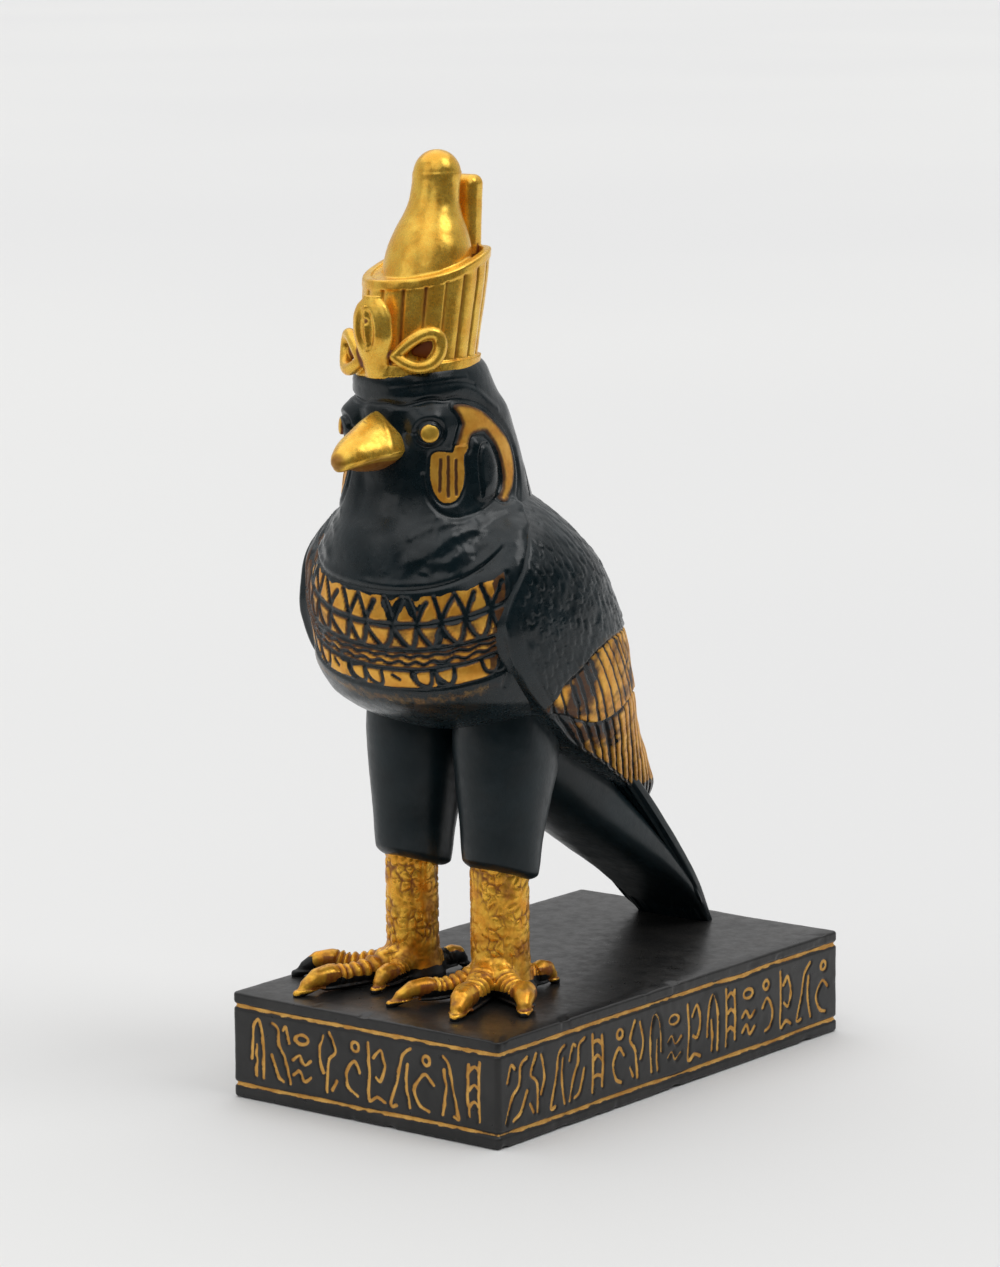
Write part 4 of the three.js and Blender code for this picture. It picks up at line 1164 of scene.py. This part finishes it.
def tail():
    grid = path_grid(TAIL_ROWS, np.linspace(0, 1, TAIL_RINGS), turns(TAIL_ROUND), [1, 0, 0])
    x, h = grid[..., 0], grid[..., 2]
    normal = normals_of(grid)
    outer = smooth(0.2, 0.7, normal[..., 1] * 0.7 + normal[..., 2] * 0.7)
    spread = (x + 1.5) / mix(3.0, 4.4, np.clip(h / 40, 0, 1)) * 1.5
    line = np.abs(spread - np.round(spread)) * 2.6
    d = groove(line, 0.5, 0.3) * outer
    d += groove(np.abs(line - 1.2), 0.25, 0.1) * outer
    return ring_mesh("tail_blade", carved(grid, d + 0.05 * noise(grid, 3.5, 91)))


def tail_root():
    shares = np.linspace(0, 1, TAIL_ROOT_RINGS)
    grid = path_grid(TAIL_ROOT_ROWS, shares, turns(TAIL_ROOT_ROUND), [1, 0, 0])
    return ring_mesh("tail_root", carved(grid, 0.06 * noise(grid, 4, 92)))


# Plinth

# Radius of the upright corners, rounding of the edges, and the border lines' distance from top and bottom
CORNER, EASED, BORDER = 1.0, 0.55, 2.2
# Front, left, back and right face: span, step between points and pitch of the signs
FACES = [
    (PLINTH_WIDTH, 0.24, 4.9), (PLINTH_LENGTH, 0.24, 5.1),
    (PLINTH_WIDTH, 0.6, 6.5), (PLINTH_LENGTH, 0.6, 6.5),
]
# Rings of the top, as shares of the way from its edge to its middle
TOP_RINGS = (0.03, 0.08, 0.16, 0.28, 0.42, 0.58, 0.74, 0.88, 0.97)
# Made-up signs: rings (across, up, radius, squash) and bent strokes through (across, up), as shares of a sign
SIGNS = [
    [("ring", -0.3, 0.86, 0.75, 1.0), [(-0.9, 0.45), (-0.1, 0.6), (0.7, 0.35), (0.3, 0.1), (-0.5, 0.0)]],
    [[(-0.9, 1.0), (-0.1, 0.85), (0.3, 0.45), (1.0, 0.0), (0.4, 0.0)],
     [(-0.7, 0.75), (-0.5, 0.4), (-0.9, 0.0)]],
    [("ring", 0, 0.8, 1.25, 0.6), [(-0.9, 0.4), (-0.3, 0.5), (0.2, 0.36), (0.9, 0.46)],
     [(-0.9, 0.14), (-0.3, 0.24), (0.2, 0.08), (0.9, 0.18)]],
    [[(-0.7, 0.0), (-0.75, 0.6), (-0.3, 1.0), (0.35, 0.85), (0.6, 0.3)],
     [(0.1, 0.55), (0.0, 0.25), (0.1, 0.0)]],
    [[(-0.6, 0.0), (-0.5, 0.5), (-0.6, 1.0)], [(0.5, 0.05), (0.6, 0.5), (0.5, 0.95)]]
    + [[(-0.5, up), (0.0, up + 0.05), (0.5, up - 0.04)] for up in (0.85, 0.55, 0.25)],
    [[(-0.2, 1.0), (-0.8, 0.7), (-0.1, 0.5), (0.1, 0.0)], [(0.5, 0.95), (0.9, 0.6), (0.5, 0.3)],
     [(-0.9, 0.2), (-0.5, 0.05)]],
    [[(-1.1, 0.0), (-0.5, 0.4), (0.2, 0.6), (0.4, 0.9), (1.1, 1.0)], [(-0.3, 0.0), (0.4, 0.1), (1.1, 0.45)],
     [(-1.0, 0.7), (-0.6, 0.95), (-0.2, 0.9)]],
    [[(-0.7, 1.0), (-0.6, 0.5), (-0.7, 0.0), (0.1, 0.06), (0.8, 0.0)],
     [(-0.2, 0.75), (0.4, 0.9), (0.8, 0.6), (0.4, 0.35), (-0.1, 0.4)]],
]


def stroke_signs(length, pitch, rng):
    """Row of made-up signs for one face: chains of points in (u, z)."""
    made = []
    count = int((length - 4) / pitch)
    low, high = 4.0, PLINTH_TOP - 4.0
    angles = np.linspace(0, TURN, 17)
    for i, kind in enumerate(rng.permutation(np.arange(count) % len(SIGNS))):
        u = (i - (count - 1) / 2) * pitch + rng.uniform(-0.3, 0.3)
        w = pitch * rng.uniform(0.34, 0.48) * rng.choice((-1, 1))
        for stroke in SIGNS[kind]:
            if stroke[0] == "ring":
                across, up, r, squash = stroke[1:]
                ring = [u + w * across + r * np.cos(angles), mix(low, high, up) + r * squash * np.sin(angles)]
                made.append(np.stack(ring, -1))
            else:
                chain = []
                for across, up in stroke:
                    a = u + w * across + rng.uniform(-0.12, 0.12)
                    chain.append((a, mix(low, high, up) + rng.uniform(-0.2, 0.2)))
                made.append(spline(chain, 8))
    return made


def plinth_outline():
    """Points round the plan with their outward directions, face numbers and distances along each face."""
    xy, out, face_of, u_of = [], [], [], []
    for face, (span, step, _) in enumerate(FACES):
        turn = face * math.pi / 2
        rotation = np.array([[math.cos(turn), -math.sin(turn)], [math.sin(turn), math.cos(turn)]])
        straight = span / 2 - CORNER
        reach = FACES[(face + 1) % 4][0] / 2
        u = np.linspace(-straight, straight, int((span - 2 * CORNER) / step), endpoint=True)
        a = np.linspace(0, QUARTER, 9)[1:-1]
        round_out = np.stack([np.sin(a), -np.cos(a)], -1)
        flat = np.stack([u, np.full(u.shape, -reach)], -1)
        xy += [flat @ rotation.T, (np.array([straight, CORNER - reach]) + CORNER * round_out) @ rotation.T]
        out += [np.tile([0.0, -1.0], (len(u), 1)) @ rotation.T, round_out @ rotation.T]
        face_of.append(np.full(len(u) + len(a), face))
        u_of += [u, straight + CORNER * a]
    return [np.concatenate(parts) for parts in (xy, out, face_of, u_of)]


def stroke_distance(face_of, u_of, z, ragged, slow):
    """Distance at points of the wall to the nearest made-up stroke."""
    rng = np.random.default_rng(23)
    best = np.full(z.shape, 9.0)
    u = np.broadcast_to(u_of, z.shape)
    for face, (span, _, pitch) in enumerate(FACES):
        here = np.where(face_of == face)[0]
        for line in stroke_signs(span, pitch, rng):
            near = here[(u_of[here] > line[:, 0].min() - 1.2) & (u_of[here] < line[:, 0].max() + 1.2)]
            if len(near):
                a, b = u[:, near] + 0.12 * ragged[:, near], z[:, near] + 0.12 * slow[:, near]
                best[:, near] = np.minimum(best[:, near], line_distance(a, b, line))
    return best


def plinth():
    xy, out, face_of, u_of = plinth_outline()
    ease = np.linspace(0, QUARTER, 8)
    z_low, in_low = EASED * (1 - np.cos(ease)), EASED * (1 - np.sin(ease))
    wall = np.linspace(EASED, PLINTH_TOP - EASED, PLINTH_WALL_RINGS + 2)[1:-1]
    levels = np.concatenate([z_low, wall, PLINTH_TOP - z_low[::-1]])
    inset = np.concatenate([in_low, np.zeros(len(wall)), in_low[::-1]])
    base = xy[None] - out[None] * inset[:, None, None]
    height = np.broadcast_to(levels[:, None, None], (len(levels), len(xy), 1))
    grid = np.concatenate([base, height], axis=2)
    z = grid[..., 2]
    ragged, slow = noise(grid, 1.1, 101), noise(grid, 9, 102)
    strokes = stroke_distance(face_of, u_of, z, ragged, slow)
    border = np.minimum(np.abs(z - BORDER - 0.25 * slow), np.abs(z - (PLINTH_TOP - BORDER) - 0.25 * slow))
    relief = groove(strokes, 0.5, 0.38) + groove(border, 0.62, 0.45) + (0.08 * slow + 0.03 * ragged - 0.12)
    edges = np.exp(-((np.minimum(z, PLINTH_TOP - z) / 1.4) ** 2))
    relief -= 0.25 * (smooth(0.35, 0.75, noise(grid, 2.6, 104)) * edges)
    gilt = np.maximum(0.28 + 0.1 * ragged - strokes, 0.3 + 0.14 * ragged - border)
    gilt = gilt - 0.14 * smooth(0.6, 0.9, noise(grid * [1, 1, 0.4], 5.5, 103))
    wash = np.clip(0.5 + 0.35 * noise(grid, 1.6, 105) - 2.6 * gilt, 0, 1)
    grid = carved(grid, relief)
    low = grid[:1] * [0.5, 0.5, 0]
    tops = [grid[-1:] * [1 - t, 1 - t, 0] + [0, 0, PLINTH_TOP] for t in TOP_RINGS]
    grid = np.concatenate([low, grid, *tops])
    grid[..., 2] = np.clip(grid[..., 2], 0, PLINTH_TOP)
    bare = np.zeros((len(tops), len(xy)))
    layers = {
        "gilt": np.concatenate([bare[:1] - 2, np.clip(gilt, -2, 2), bare - 2]),
        "wash": np.concatenate([bare[:1], wash, bare]),
        "faint": np.zeros(grid.shape[:2]),
    }
    return ring_mesh("plinth_block", grid - [0, 0, PLINTH_TOP], **layers)


# Materials

class Graph:
    """Short way to lay out a material's nodes."""

    def __init__(self, name):
        self.material = bpy.data.materials.new(name)
        self.material.use_nodes = True
        self.tree = self.material.node_tree
        self.shader = self.tree.nodes["Principled BSDF"]
        self.place = self.node("ShaderNodeTexCoord").outputs["Object"]

    def node(self, kind, **settings):
        made = self.tree.nodes.new(kind)
        for key, value in settings.items():
            setattr(made, key, value)
        return made

    def put(self, socket, value):
        if isinstance(value, bpy.types.NodeSocket):
            self.tree.links.new(value, socket)
        else:
            socket.default_value = value

    def fill(self, node, output=0, **values):
        """Set a node's inputs by name, underscores for spaces, and give one of its outputs."""
        for key, value in values.items():
            self.put(node.inputs[key.replace("_", " ")], value)
        return node.outputs[output]

    def shade(self, **values):
        self.fill(self.shader, **values)

    def attribute(self, name):
        return self.node("ShaderNodeAttribute", attribute_name=name).outputs["Fac"]

    def noise(self, size, detail=2.0, roughness=0.5):
        made = self.node("ShaderNodeTexNoise")
        scale = 1 / (size * MM)
        return self.fill(made, "Fac", Scale=scale, Detail=detail, Roughness=roughness, Vector=self.place)

    def math(self, operation, a, b, clamp=False):
        made = self.node("ShaderNodeMath", operation=operation, use_clamp=clamp)
        self.put(made.inputs[0], a)
        self.put(made.inputs[1], b)
        return made.outputs[0]

    def ramp(self, value, low, high, to_low=0.0, to_high=1.0):
        made = self.node("ShaderNodeMapRange", interpolation_type="SMOOTHSTEP")
        return self.fill(made, Value=value, From_Min=low, From_Max=high, To_Min=to_low, To_Max=to_high)

    def blend(self, share, a, b):
        return self.fill(self.node("ShaderNodeMix", data_type="RGBA"), "Result", Factor=share, A=a, B=b)

    def scalar(self, share, a, b):
        made = self.node("ShaderNodeMix", data_type="FLOAT")
        for socket, value in zip((0, 2, 3), (share, a, b)):
            self.put(made.inputs[socket], value)
        return made.outputs[0]

    def bump(self, height, strength):
        made = self.node("ShaderNodeBump")
        self.shade(Normal=self.fill(made, Strength=strength, Distance=0.12 * MM, Height=height))


def rgb(red, green, blue):
    """Shader colour from the 0 to 255 values seen."""
    seen = (red, green, blue)
    return (*[((c / 255 + 0.055) / 1.055) ** 2.4 if c > 10 else c / 255 / 12.92 for c in seen], 1)


# Paints are pairs of close tones clouded into one another; the pale specks and the three browns of wash and
# painted shade are single tones
TEAL = (rgb(14, 26, 30), rgb(20, 34, 39))
COAL = (rgb(30, 30, 30), rgb(42, 41, 40))
SOOT = (rgb(12, 14, 16), rgb(20, 22, 24))
BODY_GOLD = (rgb(246, 186, 76), rgb(224, 152, 50))
FOOT_GOLD = (rgb(250, 194, 68), rgb(234, 160, 46))
CROWN_GOLD = (rgb(252, 206, 84), rgb(238, 178, 60))
PLINTH_GOLD = (rgb(238, 188, 100), rgb(206, 150, 70))
PALE_SPECK = rgb(70, 76, 80)
UMBER, RUST, SIENNA = rgb(84, 50, 20), rgb(124, 62, 18), rgb(116, 66, 26)


def specked(g, dark, bare, most):
    """Dark paint with a little cloudiness and pale specks."""
    cloudy = g.blend(g.ramp(g.noise(6, 3), 0.3, 0.75), *dark)
    return g.blend(g.ramp(g.noise(0.4, 4, 0.7), bare, 0.8, 0, most), cloudy, PALE_SPECK)


def paint(
    name, gold, brown, metal, gold_rough, dark=None, dark_rough=0.0, traces=False,
    grain=0.4, gloss=0.42, bump=0.25,
):
    """Gold with brown wash and painted shade in the recesses: all over, or over dark paint where the layer
    gilt says.
    """
    g = Graph(name)
    speck = g.noise(0.55, 3, 0.6)
    loose = g.math("SUBTRACT", speck, 0.5)
    # The layer read here is brown wash, and painted shade in recesses and where parts meet
    wash = g.attribute("wash")
    stain = g.math("ADD", wash, g.math("MULTIPLY", loose, grain))
    colour = g.blend(g.ramp(g.noise(2.6, 3, 0.6), 0.3, 0.7), *gold)
    colour = g.blend(g.ramp(stain, 0.25, 0.95), colour, brown)
    shine = g.math("MULTIPLY", g.ramp(stain, 0.3, 1.0, 1.0, 0.25), metal)
    rough = g.ramp(speck, 0.3, 0.75, gold_rough - 0.06, gold_rough + 0.1)
    rough = g.math("ADD", rough, g.math("MULTIPLY", wash, 0.2), clamp=True)
    if dark:
        gilt = g.math("ADD", g.attribute("gilt"), g.math("MULTIPLY", loose, 0.28))
        mask = g.ramp(gilt, -0.05, 0.07)
        if traces:
            torn = g.math("SUBTRACT", g.noise(1.1, 4, 0.7), 0.5)
            smear = g.ramp(g.math("ADD", g.attribute("faint"), torn), 0.35, 1.1, 0, 0.55)
            mask = g.math("MAXIMUM", mask, smear)
        colour = g.blend(mask, specked(g, dark, 0.66, 0.35), colour)
        shine = g.math("MULTIPLY", shine, mask)
        rough_dark = g.ramp(g.noise(1.8, 3, 0.6), 0.25, 0.8, dark_rough - 0.05, dark_rough + 0.1)
        rough = g.scalar(mask, rough_dark, rough)
    g.shade(Base_Color=colour, Metallic=shine, Roughness=rough, Specular_IOR_Level=gloss)
    uneven = g.math("MULTIPLY", g.noise(0.9, 3, 0.6), 0.8)
    g.bump(g.math("ADD", uneven, g.math("MULTIPLY", g.noise(0.22, 2), 0.2)), bump)
    return g.material


def plain_dark_paint():
    g = Graph("plain_dark_paint")
    g.shade(
        Base_Color=specked(g, TEAL, 0.68, 0.3),
        Roughness=g.ramp(g.noise(1.8, 3, 0.6), 0.25, 0.8, 0.3, 0.44),
        Specular_IOR_Level=0.3,
    )
    g.bump(g.noise(0.9, 3, 0.6), 0.25)
    return g.material


def floor_paint():
    g = Graph("pale_floor")
    tone = g.blend(g.ramp(g.noise(900, 2), 0.3, 0.7), rgb(226, 226, 226), rgb(230, 230, 229))
    g.shade(Base_Color=tone, Roughness=0.75)
    return g.material


body_paint = paint(
    "falcon_paint", BODY_GOLD, UMBER, metal=0.48, gold_rough=0.34, dark=TEAL, dark_rough=0.26, traces=True
)
foot_paint = paint("foot_paint", FOOT_GOLD, RUST, metal=0.6, gold_rough=0.26, dark=SOOT, dark_rough=0.4)
crown_paint = paint(
    "crown_gold", CROWN_GOLD, RUST, metal=0.62, gold_rough=0.27, grain=0.2, gloss=0.5, bump=0.12
)
plinth_paint = paint(
    "plinth_paint", PLINTH_GOLD, SIENNA, metal=0.4, gold_rough=0.4, dark=COAL, dark_rough=0.32, gloss=0.4
)
plain_paint = plain_dark_paint()

# The left eye's middle and the way it faces
EYE_PLACE, EYE_FACING = np.array([8.75, -38.1, 90.8]), np.array([0.75, -0.66, 0.06])
MIRROR = np.array([-1, 1, 1])
pieces = [
    (trunk(), body_paint, "dark_paint"),
    (wing(1), body_paint, "dark_paint"),
    (wing(-1), body_paint, "dark_paint"),
    (beak(), crown_paint, "gold_paint"),
    (eye(1, EYE_PLACE, EYE_FACING), crown_paint, "gold_paint"),
    (eye(-1, EYE_PLACE * MIRROR, EYE_FACING * MIRROR), crown_paint, "gold_paint"),
    (crown(), crown_paint, "gold_paint"),
    (trouser(1), plain_paint, "dark_paint"),
    (trouser(-1), plain_paint, "dark_paint"),
    (foot(1), foot_paint, "gold_paint"),
    (foot(-1), foot_paint, "gold_paint"),
    (tail(), plain_paint, "dark_paint"),
    (tail_root(), plain_paint, "dark_paint"),
    (plinth(), plinth_paint, "dark_paint"),
]
for piece, material, slot in pieces:
    piece.data.materials.append(material)
    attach(piece, "root")
    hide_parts(NODE)


# Camera at the photograph's angle

LENS, DISTANCE, SHIFT_RIGHT, SHIFT_UP = 136.694, 784.03, 6.99, 69.92
azimuth, elevation, roll = (math.radians(a) for a in (38.3556, 9.7487, -0.5))
# Level directions from the figure towards the camera and to the camera's right
toward = np.array([math.sin(azimuth), -math.cos(azimuth), 0])
aside = np.array([math.cos(azimuth), math.sin(azimuth), 0])
forward = -toward * math.cos(elevation) - np.array([0, 0, math.sin(elevation)])
over = np.cross(aside, forward)
right = aside * math.cos(roll) + over * math.sin(roll)
up = over * math.cos(roll) - aside * math.sin(roll)
spot = (-forward * DISTANCE - right * SHIFT_RIGHT + up * SHIFT_UP) * MM


def place(name, data, across, top, back, middle=(0, 0, 0)):
    """Object with its own axes along three directions."""
    thing = bpy.data.objects.new(name, data)
    rows = [[across[i], top[i], back[i], middle[i]] for i in range(3)]
    thing.matrix_world = Matrix(rows + [[0, 0, 0, 1]])
    bpy.context.scene.collection.objects.link(thing)
    return thing


camera_data = bpy.data.cameras.new("camera")
camera_data.lens = LENS
camera_data.sensor_width = 36
camera_data.clip_end = 100
bpy.context.scene.camera = place("camera", camera_data, right, up, -forward, spot)


# Floor and light

# The floor runs far out behind and beside the figure. In front it ends a short way off, in the dark room.
FLOOR_FRONT, FLOOR_BACK, FLOOR_SIDE = 190.0, 16000.0, 9000.0
near_edge, far_edge, half_edge = toward * FLOOR_FRONT, -toward * FLOOR_BACK, aside * FLOOR_SIDE
corners = [near_edge - half_edge, near_edge + half_edge, far_edge + half_edge, far_edge - half_edge]
floor = make_mesh("floor", np.array(corners), [[0, 1, 2, 3]])
floor.data.materials.append(floor_paint())


def soft_sun(name, direction, spread, power):
    """Broad parallel light from a direction given as (side, front, up) seen from the camera."""
    data = bpy.data.lights.new(name, "SUN")
    data.angle = math.radians(spread)
    data.energy = power
    back = unit(direction[0] * aside + direction[1] * toward + direction[2] * np.array([0, 0, 1.0]))
    side = unit(np.cross([0, 0, 1], back))
    place(name, data, side, np.cross(back, side), back)


soft_sun("front_lamp", (-0.1, 0.74, 0.66), 46, 0.46)
soft_sun("right_lamp", (0.6, 0.3, 0.8), 34, 0.75)
soft_sun("left_lamp", (-0.8, 0.6, 0.45), 34, 0.22)
soft_sun("top_lamp", (-0.1, -0.25, 1.0), 85, 1.1)

# Room: bright overhead and behind, dark on the camera's side
world = bpy.data.worlds.new("soft_room")
world.use_nodes = True
nodes, links = world.node_tree.nodes, world.node_tree.links
direction = nodes.new("ShaderNodeTexCoord")
facing = nodes.new("ShaderNodeVectorMath")
facing.operation = "DOT_PRODUCT"
facing.inputs[1].default_value = tuple(0.6 * np.array([0, 0, 1]) - 0.76 * toward - 0.24 * aside)
shade = nodes.new("ShaderNodeMapRange")
shade.interpolation_type = "SMOOTHSTEP"
for socket, value in (("From Min", -0.35), ("From Max", 0.5), ("To Min", 0.03), ("To Max", 1.0)):
    shade.inputs[socket].default_value = value
links.new(direction.outputs["Generated"], facing.inputs[0])
links.new(facing.outputs["Value"], shade.inputs["Value"])
links.new(shade.outputs[0], nodes["Background"].inputs["Color"])
nodes["Background"].inputs["Strength"].default_value = 0.56
bpy.context.scene.world = world
bpy.context.scene.view_settings.view_transform = "Standard"
